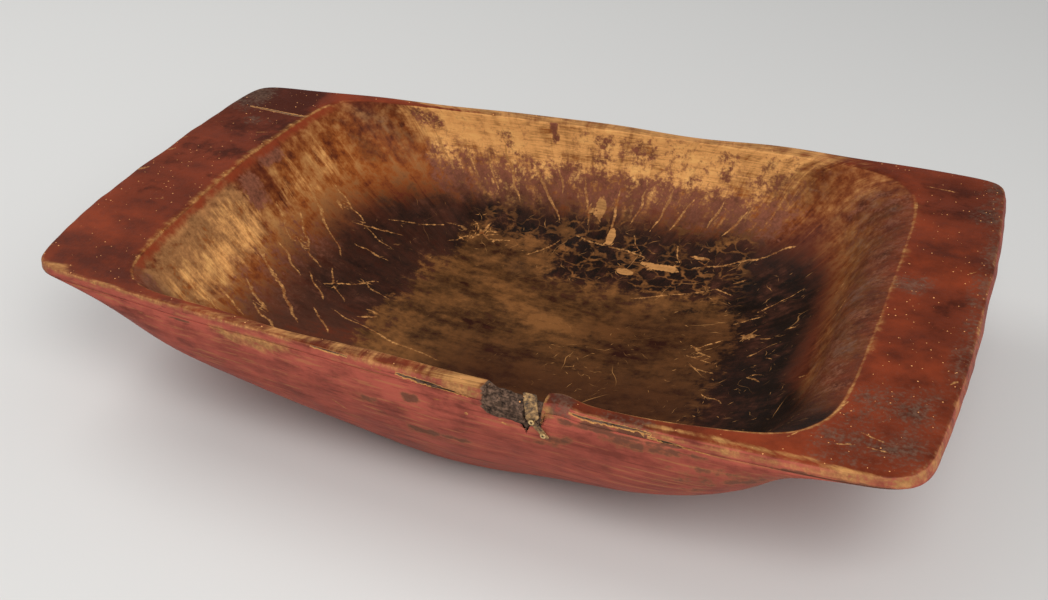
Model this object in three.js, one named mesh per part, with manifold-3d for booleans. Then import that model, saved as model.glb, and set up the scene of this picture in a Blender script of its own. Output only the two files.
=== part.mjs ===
// Hewn wooden trough with a lug at each end, and a strip of hide tacked over its broken rim.
// Millimetres, +Z up, +X along the trough, the photographed side towards -Y.
// The origin is on the base, under the middle of the trough.

import * as THREE from "three";
import { mergeVertices } from "three/addons/utils/BufferGeometryUtils.js";
import Module from "manifold-3d";

const wasm = await Module();
wasm.setup();

// Overall sizes of the trough
const LENGTH = 804;
const HEIGHT = 150;
const LEFT_WIDTH = 410;
const RIGHT_WIDTH = 514;
const LEFT_END_BOW = 15;
const RIGHT_END_BOW = 10;
const NEAR_SIDE_BOW = 18;
const FAR_SIDE_BOW = 13;

// Outside of the hull. The lugs' undersides and the base's ends are measured in from the trough's ends.
const LEFT_LUG_UNDERSIDE = 58;
const RIGHT_LUG_UNDERSIDE = 80;
const BASE_FROM_LEFT_END = 210;
const BASE_FROM_RIGHT_END = 198;
const BASE_WIDTH = 304;
const BASE_ROUNDING = 3;
const LUG_EDGE = 11;
const LEFT_LUG_SWEEP = 12;
const RIGHT_LUG_SWEEP = 22;
const SIDE_SWELL = 2.25;
const END_SWELL = 1.05;
const EDGE_ROUNDING = 3;
const RIGHT_END_BEVEL = 3;

// Hollow: the length of each lug's top, the walls at the rim, and the floor
const LEFT_LUG_TOP = 86;
const RIGHT_LUG_TOP = 80;
const LEFT_LIP_FLARE = 26;
const RIGHT_LIP_FLARE = 42;
const HOLLOW_RIGHT_BOW = 3;
const WALL_AT_LEFT = 9;
const WALL_AT_RIGHT = 17;
const FLOOR_THICKNESS = 26;
const HOLLOW_SIDE_ROUNDNESS = 2.8;
const HOLLOW_LEFT_ROUNDNESS = 2.2;
const HOLLOW_RIGHT_ROUNDNESS = 2.7;
const LIP_SHARPNESS = 7;

// Squareness of the outlines: 2 is an ellipse, and larger is squarer
const RIM_LEFT_SQUARENESS = 30;
const RIM_FAR_RIGHT_SQUARENESS = 28;
const RIM_NEAR_RIGHT_SQUARENESS = 18;
const BASE_LEFT_SQUARENESS = 2.9;
const BASE_RIGHT_SQUARENESS = 2.4;
const LEFT_CORNER_LATENESS = 3.5;
const RIGHT_CORNER_LATENESS = 2;
const HOLLOW_LEFT_SQUARENESS = 14;
const HOLLOW_RIGHT_SQUARENESS = 8;
const FLOOR_SQUARENESS = 2.6;

// Notch broken out of the near rim. Drops are measured down from the rim.
const NOTCH_LEFT = 56;
const NOTCH_RIGHT = 103;
const NOTCH_DROP_INSIDE = 7;
const NOTCH_DROP_OUTSIDE = 13;
const CLEFT_DROP = 25;
const CLEFT_WIDTH = 6;

// Strip of hide over the notch
const STRIP_WIDTH = 12;
const STRIP_THICKNESS = 2;
const STRIP_LEAN = 8;
const STRIP_INSIDE_DROP = 24;
const TAIL_WIDTH = 6;
const TAIL_END_WIDTH = 5;
const TAIL_LENGTH = 19;
const TAIL_LEAN_DEGREES = 40;

// Tacks
const TACK_HEAD_RADIUS = 2.5;
const TACK_HEAD_HEIGHT = 1.3;
const TACK_SHANK_RADIUS = 0.8;
const TACK_LENGTH = 8;
const UPPER_TACK_DROP = 18;
const TACK_SPACING = 14;

const CLEARANCE = 0.3;

// Counts of points and levels in the body's surface, and of sides round a tack and its hole.
// Below 1, the spread crowds the hollow's levels less at its lip.
const SIDE_POINTS = 32;
const END_POINTS = 20;
const OUTER_LEVELS = 14;
const INNER_LEVELS = 14;
const INNER_SPREAD = 0.8;
const TACK_SIDES = 20;

const { lerp } = THREE.MathUtils;
const halfLength = LENGTH / 2;

/** Half of the trough's width at x, on the near side (side -1) or the far side (side 1). */
function halfWidth(x, side) {
  const along = (x + halfLength) / LENGTH;
  const bow = side < 0 ? NEAR_SIDE_BOW : FAR_SIDE_BOW;
  const fromMiddle = x / halfLength;
  return lerp(LEFT_WIDTH, RIGHT_WIDTH, along) / 2 + bow * (1 - fromMiddle * fromMiddle);
}

/** Share of the full width that the hull has at height z. */
function hullShare(z) {
  const atBase = BASE_WIDTH / (halfWidth(0, -1) + halfWidth(0, 1));
  return lerp(atBase, 1, 1 - (1 - z / HEIGHT) ** SIDE_SWELL);
}

/** Directions from the middle of a square to points round its border, closest at the corners. */
function borderDirections() {
  const run = (count) => Array.from({ length: count }, (_, i) => Math.sin(Math.PI * (i / count - 0.5)));
  const near = run(SIDE_POINTS).map((t) => [t, -1]);
  const right = run(END_POINTS).map((t) => [1, t]);
  const far = run(SIDE_POINTS).map((t) => [-t, 1]);
  const left = run(END_POINTS).map((t) => [-1, -t]);
  return [...near, ...right, ...far, ...left];
}

const DIRECTIONS = borderDirections();

/**
 * One closed outline at height z. Reaches are its lengths to the left and right of the middle, share is
 * its part of the full width, walls are taken off the width, and squareness shapes its corners.
 */
function outline({ z, left, right, share }) {
  return DIRECTIONS.map(([dx, dy]) => {
    const end = dx < 0 ? left : right;
    const power = dy < 0 ? end.nearSquareness : end.farSquareness;
    const shrink = (Math.abs(dx) ** power + Math.abs(dy) ** power) ** (-1 / power);
    const across = dy * shrink;
    const x = dx * shrink * (end.reach - end.bow * across * across);
    const wall = lerp(left.wall, right.wall, (x + halfLength) / LENGTH);
    const y = across * (halfWidth(x, Math.sign(dy)) * share - wall);
    return new THREE.Vector3(x, y, z);
  });
}

/** Outline of the hull at a share s of the way up from the base to the lugs' edge, drawn in by inset. */
function hullOutline(s, inset = 0) {
  const z = s * (HEIGHT - LUG_EDGE);
  const lengthen = 1 - (1 - s) ** END_SWELL;
  const reach = (baseFromEnd, underside, sweep) => halfLength
    - lerp(baseFromEnd, underside, lengthen) + underside * s ** sweep - inset;
  const leftSquareness = lerp(BASE_LEFT_SQUARENESS, RIM_LEFT_SQUARENESS, s ** LEFT_CORNER_LATENESS);
  const rightSquareness = (atRim) => lerp(BASE_RIGHT_SQUARENESS, atRim, s ** RIGHT_CORNER_LATENESS);
  return outline({
    z,
    share: hullShare(z),
    left: {
      reach: reach(BASE_FROM_LEFT_END, LEFT_LUG_UNDERSIDE, LEFT_LUG_SWEEP),
      bow: LEFT_END_BOW,
      wall: inset,
      nearSquareness: leftSquareness,
      farSquareness: leftSquareness,
    },
    right: {
      reach: reach(BASE_FROM_RIGHT_END, RIGHT_LUG_UNDERSIDE, RIGHT_LUG_SWEEP),
      bow: RIGHT_END_BOW,
      wall: inset,
      nearSquareness: rightSquareness(RIM_NEAR_RIGHT_SQUARENESS),
      farSquareness: rightSquareness(RIM_FAR_RIGHT_SQUARENESS),
    },
  });
}

/** The base's flat outline, and the hull's levels from just above it up to the lugs' edge. */
function hullOutlines() {
  const start = BASE_ROUNDING / (HEIGHT - LUG_EDGE);
  const levels = Array.from({ length: OUTER_LEVELS }, (_, i) => {
    const t = Math.sin(Math.PI / 2 * i / (OUTER_LEVELS - 1));
    return hullOutline(lerp(start, 1, t));
  });
  return [hullOutline(0, 2 * BASE_ROUNDING), ...levels];
}

/** Outline of the rim at a drop below its top, drawn in from the outer edge by inset. */
function rimOutline(drop, inset) {
  return outline({
    z: HEIGHT - drop,
    share: 1,
    left: {
      reach: halfLength - inset,
      bow: LEFT_END_BOW,
      wall: inset,
      nearSquareness: RIM_LEFT_SQUARENESS,
      farSquareness: RIM_LEFT_SQUARENESS,
    },
    right: {
      reach: halfLength - inset - RIGHT_END_BEVEL * (1 - drop / LUG_EDGE),
      bow: RIGHT_END_BOW,
      wall: inset,
      nearSquareness: RIM_NEAR_RIGHT_SQUARENESS,
      farSquareness: RIM_FAR_RIGHT_SQUARENESS,
    },
  });
}

/** Share of the full width that the hollow has at a share d of its depth. */
function hollowShare(d, roundness) {
  return Math.max(0, 1 - d ** roundness) ** (1 / roundness);
}

/** Outline of the hollow at a share d of its depth, from 0 at the rim to 1 at the floor. */
function hollowOutline(d) {
  const reach = (lugTop, flare, roundness) => (halfLength - lugTop - flare) * hollowShare(d, roundness)
    + flare * (1 - d) ** LIP_SHARPNESS;
  const share = hollowShare(d, HOLLOW_SIDE_ROUNDNESS);
  const squareness = (atRim) => lerp(atRim, FLOOR_SQUARENESS, Math.sqrt(d));
  return outline({
    z: HEIGHT - d * (HEIGHT - FLOOR_THICKNESS),
    share,
    left: {
      reach: reach(LEFT_LUG_TOP, LEFT_LIP_FLARE, HOLLOW_LEFT_ROUNDNESS),
      bow: LEFT_END_BOW,
      wall: WALL_AT_LEFT * share,
      nearSquareness: squareness(HOLLOW_LEFT_SQUARENESS),
      farSquareness: squareness(HOLLOW_LEFT_SQUARENESS),
    },
    right: {
      reach: reach(RIGHT_LUG_TOP, RIGHT_LIP_FLARE, HOLLOW_RIGHT_ROUNDNESS),
      bow: HOLLOW_RIGHT_BOW,
      wall: WALL_AT_RIGHT * share,
      nearSquareness: squareness(HOLLOW_RIGHT_SQUARENESS),
      farSquareness: squareness(HOLLOW_RIGHT_SQUARENESS),
    },
  });
}

/** Closed mesh through outlines of equal length, from the first outline's cap to the last one's. */
function skin(outlines) {
  const count = outlines[0].length;
  const middle = (points) => points.reduce((sum, p) => sum.add(p), new THREE.Vector3()).divideScalar(count);
  const points = [...outlines.flat(), middle(outlines[0]), middle(outlines.at(-1))];
  const firstCap = outlines.length * count;
  const faces = [];
  for (let i = 0; i < count; i += 1) {
    const next = (i + 1) % count;
    faces.push(firstCap, next, i);
    faces.push(firstCap + 1, firstCap - count + i, firstCap - count + next);
    for (let level = 0; level < outlines.length - 1; level += 1) {
      const low = level * count;
      const high = low + count;
      faces.push(low + i, low + next, high + next);
      faces.push(low + i, high + next, high + i);
    }
  }
  const geometry = new THREE.BufferGeometry();
  geometry.setAttribute("position", new THREE.Float32BufferAttribute(points.flatMap((p) => [...p]), 3));
  geometry.setIndex(faces);
  return geometry;
}

/** Solid for joins and cuts, from a closed geometry. */
function toSolid(geometry) {
  const bare = geometry.clone();
  bare.deleteAttribute("normal");
  bare.deleteAttribute("uv");
  const merged = mergeVertices(bare, 1e-4);
  return new wasm.Manifold(new wasm.Mesh({
    numProp: 3,
    vertProperties: Float32Array.from(merged.attributes.position.array),
    triVerts: Uint32Array.from(merged.index.array),
  }));
}

/** Geometry with flat faces, from a solid. */
function toGeometry(solid) {
  const { vertProperties, triVerts } = solid.getMesh();
  const geometry = new THREE.BufferGeometry();
  geometry.setAttribute("position", new THREE.BufferAttribute(vertProperties, 3));
  geometry.setIndex(new THREE.BufferAttribute(triVerts, 1));
  geometry.computeVertexNormals();
  return geometry;
}

/** The trough before the notch is broken out of it. */
function wholeTrough() {
  const edge = [rimOutline(EDGE_ROUNDING, 0), rimOutline(0, EDGE_ROUNDING)];
  const inside = Array.from({ length: INNER_LEVELS }, (_, i) => (
    hollowOutline(Math.sin(Math.PI / 2 * i / INNER_LEVELS) ** INNER_SPREAD)));
  return skin([...hullOutlines(), ...edge, ...inside]);
}

/** Thickness of the long walls at the rim, at x. */
function rimWall(x) {
  return lerp(WALL_AT_LEFT, WALL_AT_RIGHT, (x + halfLength) / LENGTH);
}

/** Y of the near wall's outer face at x, at a drop below the rim. */
function outerFaceY(x, drop) {
  return -halfWidth(x, -1) * hullShare(HEIGHT - drop);
}

/** Y of the near wall's inner face at x, at a drop below the rim. */
function innerFaceY(x, drop) {
  const share = hollowShare(drop / (HEIGHT - FLOOR_THICKNESS), HOLLOW_SIDE_ROUNDNESS);
  return -(halfWidth(x, -1) - rimWall(x)) * share;
}

// The strip lies against the notch's right side, and the cleft opens at its left edge.
const stripOutsideX = NOTCH_RIGHT - CLEARANCE - STRIP_WIDTH / 2;
const stripInsideX = stripOutsideX - STRIP_LEAN;
const cleftX = stripOutsideX - STRIP_WIDTH / 2;

/** Tool that breaks out the notch: its floor slopes down outwards, and has a narrow cleft outside. */
function notchTool() {
  const cleftLeft = cleftX - CLEFT_WIDTH / 2;
  const step = (cleftLeft - NOTCH_LEFT) / 4;
  const face = (y, drop, cleftDrop) => [
    [NOTCH_LEFT, -EDGE_ROUNDING],
    [NOTCH_LEFT + step * 0.3, drop * 0.4],
    [NOTCH_LEFT + step * 1.5, drop * 0.7],
    [NOTCH_LEFT + step * 3, drop * 0.9],
    [cleftLeft, drop],
    [cleftX, cleftDrop],
    [cleftLeft + CLEFT_WIDTH, drop],
    [NOTCH_RIGHT, drop],
    [NOTCH_RIGHT + EDGE_ROUNDING, -EDGE_ROUNDING],
  ].map(([x, down]) => new THREE.Vector3(x, y, HEIGHT - down));
  const beyond = EDGE_ROUNDING + CLEARANCE;
  const outerY = outerFaceY(cleftX, 0) - beyond;
  const innerY = outerFaceY(cleftX, 0) + rimWall(cleftX) + beyond;
  return skin([
    face(innerY, NOTCH_DROP_INSIDE, NOTCH_DROP_INSIDE),
    face(outerY, NOTCH_DROP_OUTSIDE, CLEFT_DROP),
  ]);
}

/** Point on a face of the near wall, with the face's normal. Way is -1 outside and 1 in the hollow. */
function onWall(faceY, way, x, drop) {
  const slopeAlong = faceY(x + 0.5, drop) - faceY(x - 0.5, drop);
  const slopeDown = faceY(x, drop + 0.5) - faceY(x, drop - 0.5);
  return {
    point: new THREE.Vector3(x, faceY(x, drop), HEIGHT - drop),
    normal: new THREE.Vector3(-slopeAlong, 1, slopeDown).multiplyScalar(way).normalize(),
  };
}

const tailLean = THREE.MathUtils.degToRad(TAIL_LEAN_DEGREES);

/** Point under the tail on the wall's outer face, at a run down the tail from the upper tack. */
function underTail(run) {
  const x = stripOutsideX + run * Math.sin(tailLean);
  return onWall(outerFaceY, -1, x, UPPER_TACK_DROP + run * Math.cos(tailLean));
}

/** Places along the strip: up the inner face, over the notch, down the outer face, and along the tail. */
function stripStations() {
  const lift = CLEARANCE + STRIP_THICKNESS / 2;
  const straight = new THREE.Vector3(1, 0, 0);
  const leaning = new THREE.Vector3(Math.cos(tailLean), 0, Math.sin(tailLean));
  const turning = straight.clone().add(leaning).normalize();
  const station = ({ point, normal }, width, direction) => ({
    centre: point.addScaledVector(normal, lift),
    normal,
    across: direction.clone().addScaledVector(normal, -direction.dot(normal)).normalize(),
    width,
  });
  const overEdge = (x, y, drop, way) => ({
    point: new THREE.Vector3(x, y, HEIGHT - drop),
    normal: new THREE.Vector3(0, way, 1).normalize(),
  });
  const inside = (drop) => station(onWall(innerFaceY, 1, stripInsideX, drop), STRIP_WIDTH, straight);
  const innerEdge = overEdge(stripInsideX, innerFaceY(stripInsideX, 0), NOTCH_DROP_INSIDE, 1);
  const outerEdge = overEdge(stripOutsideX, outerFaceY(stripOutsideX, 0), NOTCH_DROP_OUTSIDE, -1);
  return [
    inside(STRIP_INSIDE_DROP),
    inside((STRIP_INSIDE_DROP + NOTCH_DROP_INSIDE) / 2),
    inside(NOTCH_DROP_INSIDE + STRIP_THICKNESS),
    station(innerEdge, STRIP_WIDTH, straight),
    station(outerEdge, STRIP_WIDTH, straight),
    station(underTail(-STRIP_THICKNESS), (STRIP_WIDTH + TAIL_WIDTH) / 2, straight),
    station(underTail(0), TAIL_WIDTH, turning),
    station(underTail(TAIL_LENGTH / 2), TAIL_WIDTH, leaning),
    station(underTail(TAIL_LENGTH), TAIL_END_WIDTH, leaning),
  ];
}

/** Flat strap through the strip's stations, grown on every side by grow. */
function strap(grow) {
  const thickness = STRIP_THICKNESS + 2 * grow;
  return skin(stripStations().map(({ centre, normal, across, width }) => {
    const half = width / 2 + grow;
    const edge = half - STRIP_THICKNESS / 4;
    return [
      [-edge, -0.5], [edge, -0.5], [half, -0.2], [half, 0.2],
      [edge, 0.5], [-edge, 0.5], [-half, 0.2], [-half, -0.2],
    ].map(([u, v]) => centre.clone().addScaledVector(across, u).addScaledVector(normal, v * thickness));
  }));
}

/** Tack on the +Z axis, with its head's underside at z = 0. Its head has a dished middle. */
function tack() {
  const head = TACK_HEAD_RADIUS;
  const shank = TACK_SHANK_RADIUS;
  const profile = [
    [0, -TACK_LENGTH],
    [shank, -TACK_LENGTH + 2 * shank],
    [shank, 0],
    [head, 0],
    [head, 0.4 * TACK_HEAD_HEIGHT],
    [0.75 * head, TACK_HEAD_HEIGHT],
    [0.45 * head, TACK_HEAD_HEIGHT],
    [0, 0.4 * TACK_HEAD_HEIGHT],
  ].map(([r, z]) => new THREE.Vector2(r, z));
  return new THREE.LatheGeometry(profile, TACK_SIDES).rotateX(Math.PI / 2);
}

/** Hole for a tack's shank, with clearance all round and past its point. */
function tackHole() {
  const radius = TACK_SHANK_RADIUS + CLEARANCE;
  const length = 2 * TACK_LENGTH;
  const hole = new THREE.CylinderGeometry(radius, radius, length, TACK_SIDES).rotateX(Math.PI / 2);
  return hole.translate(0, 0, length / 2 - TACK_LENGTH - CLEARANCE);
}

/** Where a tack stands, a run down the tail from the upper tack: its head bears on the strip. */
function tackPlace(run) {
  const { point, normal } = underTail(run);
  const turn = new THREE.Quaternion().setFromUnitVectors(new THREE.Vector3(0, 0, 1), normal);
  const seat = point.addScaledVector(normal, STRIP_THICKNESS + 2 * CLEARANCE);
  return new THREE.Matrix4().compose(seat, turn, new THREE.Vector3(1, 1, 1));
}

const paintedWood = new THREE.MeshStandardMaterial({ color: 0x7d3a26, roughness: 0.55, metalness: 0 });
const hide = new THREE.MeshStandardMaterial({ color: 0x7a6143, roughness: 0.8, metalness: 0 });
const dullBrass = new THREE.MeshStandardMaterial({ color: 0xa98a52, roughness: 0.5, metalness: 0.8 });

/** Named mesh for one piece. */
function piece(name, geometry, material) {
  const mesh = new THREE.Mesh(geometry, material);
  mesh.name = name;
  return mesh;
}

const tackPlaces = { thong_tack_upper: tackPlace(0), thong_tack_lower: tackPlace(TACK_SPACING) };
const tackHoles = Object.values(tackPlaces).map((place) => toSolid(tackHole().applyMatrix4(place)));
const withHoles = (solid) => tackHoles.reduce((left, hole) => left.subtract(hole), solid);
const notched = toSolid(wholeTrough()).subtract(toSolid(notchTool()));
const body = withHoles(notched.subtract(toSolid(strap(CLEARANCE))));

const trough = new THREE.Group();
trough.add(piece("trough_body", toGeometry(body), paintedWood));
trough.add(piece("rim_thong", toGeometry(withHoles(toSolid(strap(0)))), hide));
for (const [name, place] of Object.entries(tackPlaces)) {
  trough.add(piece(name, toGeometry(toSolid(tack().applyMatrix4(place))), dullBrass));
}

// The two sides bow by different amounts, so the middle of the finished width is set on the origin.
trough.position.y = -new THREE.Box3().setFromObject(trough).getCenter(new THREE.Vector3()).y;

export default trough;
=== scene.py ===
"""Hewn wooden trough in worn red paint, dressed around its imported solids.

Sizes in the formulas are millimetres and MM turns them to metres. +X runs along the trough to its wider
end, -Y is the side with the notch, +Z is up, and the base stands on z = 0.
"""
import math
from types import SimpleNamespace

import bpy
import numpy as np
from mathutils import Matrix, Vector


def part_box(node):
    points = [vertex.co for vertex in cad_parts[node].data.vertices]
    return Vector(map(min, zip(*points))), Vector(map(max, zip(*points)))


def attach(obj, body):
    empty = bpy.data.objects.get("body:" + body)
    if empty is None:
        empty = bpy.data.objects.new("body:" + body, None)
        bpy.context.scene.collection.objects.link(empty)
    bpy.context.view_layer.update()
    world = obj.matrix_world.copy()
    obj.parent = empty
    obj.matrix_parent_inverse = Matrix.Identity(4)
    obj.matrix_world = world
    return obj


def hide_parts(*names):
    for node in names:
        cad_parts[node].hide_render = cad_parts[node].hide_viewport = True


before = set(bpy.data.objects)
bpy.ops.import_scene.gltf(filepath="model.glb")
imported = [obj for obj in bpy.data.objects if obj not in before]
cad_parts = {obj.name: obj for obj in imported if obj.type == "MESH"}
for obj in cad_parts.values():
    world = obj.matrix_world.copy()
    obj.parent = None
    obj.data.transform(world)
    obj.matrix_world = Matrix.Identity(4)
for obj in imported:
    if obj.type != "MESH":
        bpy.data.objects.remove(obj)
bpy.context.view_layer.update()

bl_info = {
    "name": "Hewn trough",
    "version": (1, 0, 0),
    "blender": (4, 5, 0),
    "location": "View3D > Sidebar > Trough",
    "description": "Carves and finishes a hewn wooden trough with a strip of hide over its broken rim",
    "category": "Object",
}

MM = 0.001

# Overall sizes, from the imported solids
LOWEST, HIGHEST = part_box("trough_body")
LENGTH = round((HIGHEST.x - LOWEST.x) / MM, 2)
HEIGHT = round((HIGHEST.z - LOWEST.z) / MM, 2)
HALF = LENGTH / 2

# Outside of the trough, as its solid has it
LEFT_WIDTH, RIGHT_WIDTH = 410, 514
LEFT_END_BOW, RIGHT_END_BOW = 15, 10
NEAR_SIDE_BOW, FAR_SIDE_BOW = 18, 13
LEFT_LUG_UNDERSIDE, RIGHT_LUG_UNDERSIDE = 58, 80
BASE_FROM_LEFT_END, BASE_FROM_RIGHT_END = 210, 198
BASE_WIDTH, BASE_ROUNDING = 304, 3
LUG_EDGE = 11
LEFT_LUG_SWEEP, RIGHT_LUG_SWEEP = 12, 22
SIDE_SWELL, END_SWELL = 2.25, 1.05
EDGE_ROUNDING, RIGHT_END_BEVEL = 3, 3
UNDER_ROUNDING = 1.6

# Rows of points on the outside: on the flat base as shares of it, up the hull and how they crowd at its top,
# drops of those on the lugs' edge, steps round each small rounding, and rows over the rim
BASE_ROWS = (0.35, 0.7, 0.93)
HULL_ROWS, HULL_CROWDING = 31, 1.9
EDGE_ROW_DROPS = (7.6, 5.3)
ROUNDING_STEPS = 4
RIM_ROWS = 12

# Hollow
LEFT_LUG_TOP, RIGHT_LUG_TOP = 86, 80
LEFT_LIP_FLARE, RIGHT_LIP_FLARE = 26, 42
HOLLOW_RIGHT_BOW = 3
WALL_AT_LEFT, WALL_AT_RIGHT = 9, 17
FLOOR_THICKNESS = 26
HOLLOW_SIDE_ROUNDNESS, HOLLOW_LEFT_ROUNDNESS, HOLLOW_RIGHT_ROUNDNESS = 2.8, 2.2, 2.7
LIP_SHARPNESS = 7
LIP_ROUNDING = 2.5
DEPTH = HEIGHT - FLOOR_THICKNESS

# Squareness of the outlines: 2 is an ellipse, and larger is squarer
RIM_LEFT_SQUARENESS, RIM_FAR_RIGHT_SQUARENESS, RIM_NEAR_RIGHT_SQUARENESS = 30, 28, 18
BASE_LEFT_SQUARENESS, BASE_RIGHT_SQUARENESS = 2.9, 2.4
LEFT_CORNER_LATENESS, RIGHT_CORNER_LATENESS = 3.5, 2
HOLLOW_LEFT_SQUARENESS, HOLLOW_RIGHT_SQUARENESS = 14, 8
FLOOR_SQUARENESS = 2.6

# Notch in the near rim
NOTCH_LEFT, NOTCH_RIGHT = 56, 103
NOTCH_DROP_INSIDE, NOTCH_DROP_OUTSIDE = 7, 13
CLEFT_DROP, CLEFT_WIDTH = 25, 6
# Its left part: quarters of the way to the cleft, and shares of the drop there
NOTCH_SLOPE = ((0, 0), (0.3, 0.4), (1.5, 0.7), (3, 0.9))
NOTCH_STEP_OUTSIDE, NOTCH_STEP_INSIDE = 2.5, 1.5
# How far back the near wall's points lie at least, and how far down the break moves them
NEAR_WALL_FROM = 150
BREAK_REACH_OUTSIDE, BREAK_REACH_INSIDE = 45, 32
# Roughness of the break: wavelength, seed and height
BREAK_WAVES = ((7, 11, 0.8), (3.5, 12, 0.3))
SWELLING_X, SWELLING_REACH, SWELLING_HEIGHT = 117, 13, 4

# Strip of hide and its tacks
CLEARANCE = 0.3
STRIP_WIDTH, STRIP_THICKNESS, STRIP_LEAN, STRIP_INSIDE_DROP = 12, 2, 8, 24
TAIL_WIDTH, TAIL_END_WIDTH, TAIL_LENGTH, TAIL_LEAN = 6, 5, 19, math.radians(40)
TACK_HEAD_RADIUS, TACK_HEAD_HEIGHT, TACK_SHANK_RADIUS, TACK_LENGTH = 2.5, 1.3, 0.8, 8
UPPER_TACK_DROP, TACK_SPACING = 18, 14
STRIP_OUTSIDE_X = NOTCH_RIGHT - CLEARANCE - STRIP_WIDTH / 2
STRIP_INSIDE_X = STRIP_OUTSIDE_X - STRIP_LEAN
CLEFT_X = STRIP_OUTSIDE_X - STRIP_WIDTH / 2

# Steps of the surface along the sides and the ends
SIDE_STEPS, END_STEPS = 264, 160
# How much closer the points lie at the corners and round the notch, with the notch's place and reach on a
# side that runs from -1 to 1
CORNER_CROWDING, NOTCH_CROWDING = 2.5, 1.6
NOTCH_PLACE, NOTCH_SPREAD = 0.23, 0.11

# Strip's rows and columns of points, rows between the knots of its nibbled edges and seed of the nibbling,
# and points round a tack
STRIP_ROWS, STRIP_COLUMNS = 110, 28
NIBBLE_SPACING, NIBBLE_SEED = 4, 21
TACK_COLUMNS = 32
# Strip's section: powers that flatten its oval across and through, how much thinner its edges are, and how
# far they are drawn in
STRIP_FLATNESS, STRIP_ROUNDNESS = 0.45, 0.7
EDGE_THINNING, EDGE_ROOM = 0.15, 0.4
# Its ends: the power that squares them, and what is left there. Its curl: radians of the wave per station
END_SQUARENESS, END_LEFT = 24, 0.02
CURL_WAVE = 2.3

# Camera: it looks at a point over the floor, from the near side and a little to the right
CAMERA_AIM = (0.0135, -0.0536, 0.11)
CAMERA_DISTANCE = 1.4115
CAMERA_AZIMUTH = math.radians(20.902)
CAMERA_ELEVATION = math.radians(30.742)
CAMERA_LENS = 54.89


def linear(colour):
    """Linear RGBA of an sRGB hex colour."""
    channels = [int(colour[i:i + 2], 16) / 255 for i in (1, 3, 5)]
    return (*[c / 12.92 if c <= 0.04045 else ((c + 0.055) / 1.055) ** 2.4 for c in channels], 1.0)


def blend(a, b, t):
    """a where t is 0, b where t is 1."""
    return a + (b - a) * t


def ease(low, high, value):
    """0 below low, 1 above high, and a smooth rise between."""
    t = np.clip((value - low) / (high - low), 0, 1)
    return t * t * (3 - 2 * t)


def wobble(points, wavelength, seed, stretch=(1, 1, 1)):
    """Smooth noise from about -1 to 1: a sum of 14 plane waves of seeded directions, phases and lengths."""
    chance = np.random.default_rng(seed)
    directions = chance.normal(size=(14, 3))
    directions /= np.linalg.norm(directions, axis=1)[:, None]
    lengths = wavelength * chance.uniform(0.7, 1.6, 14)
    phases = chance.uniform(0, 2 * np.pi, 14)
    scaled = points / np.array(stretch)
    waves = np.sin(scaled @ (directions / lengths[:, None] * 2 * np.pi).T + phases)
    return waves.sum(-1) / np.sqrt(14)


# Places along the trough, fine enough to find its widest point
STEPS_ALONG = np.linspace(-HALF, HALF, 4001)


def half_width(x, near):
    """Half of the trough's width at x: it widens evenly to the right, and each side bows as a parabola."""
    bow = np.where(near, NEAR_SIDE_BOW, FAR_SIDE_BOW)
    return blend(LEFT_WIDTH, RIGHT_WIDTH, x / LENGTH + 0.5) / 2 + bow * (1 - (x / HALF) ** 2)


MIDDLE_SHIFT = (half_width(STEPS_ALONG, True).max() - half_width(STEPS_ALONG, False).max()) / 2


def hull_share(z):
    """Share of the full width at height z: it grows from the base as one minus a power of the drop."""
    at_base = BASE_WIDTH / (half_width(0, True) + half_width(0, False))
    return blend(at_base, 1, 1 - np.clip(1 - z / HEIGHT, 0, 1) ** SIDE_SWELL)


def outline(dx, dy, left, right, share):
    """x and y of a rounded box in the directions (dx, dy) of a square's border.

    left and right are (reach, bow, wall, near squareness, far squareness). The direction is drawn in until
    |dx|^p + |dy|^p is 1. x is dx times the reach, less a bow. y is dy times the half width, less the wall.
    """
    is_left, near = dx < 0, dy < 0
    reach, bow = (np.where(is_left, left[i], right[i]) for i in (0, 1))
    power = np.where(is_left, np.where(near, left[3], left[4]), np.where(near, right[3], right[4]))
    shrink = (np.abs(dx) ** power + np.abs(dy) ** power) ** (-1 / power)
    across = dy * shrink
    x = dx * shrink * (reach - bow * across ** 2)
    y = across * (half_width(x, near) * share - blend(left[2], right[2], x / LENGTH + 0.5))
    return x, y


def hull(s, inset, dx, dy):
    """Points of the hull at a share s of the way up from the base to the lugs' edge."""
    z = s * (HEIGHT - LUG_EDGE)
    lengthen = 1 - (1 - s) ** END_SWELL
    left_square = blend(BASE_LEFT_SQUARENESS, RIM_LEFT_SQUARENESS, s ** LEFT_CORNER_LATENESS)
    late = s ** RIGHT_CORNER_LATENESS
    left_reach = (HALF - blend(BASE_FROM_LEFT_END, LEFT_LUG_UNDERSIDE, lengthen)
                  + LEFT_LUG_UNDERSIDE * s ** LEFT_LUG_SWEEP - inset)
    right_reach = (HALF - blend(BASE_FROM_RIGHT_END, RIGHT_LUG_UNDERSIDE, lengthen)
                   + RIGHT_LUG_UNDERSIDE * s ** RIGHT_LUG_SWEEP - inset)
    left = (left_reach, LEFT_END_BOW, inset, left_square, left_square)
    right = (right_reach, RIGHT_END_BOW, inset, blend(BASE_RIGHT_SQUARENESS, RIM_NEAR_RIGHT_SQUARENESS, late),
             blend(BASE_RIGHT_SQUARENESS, RIM_FAR_RIGHT_SQUARENESS, late))
    x, y = outline(dx, dy, left, right, hull_share(z))
    return np.stack([x, y, z + 0 * x], -1)


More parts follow.
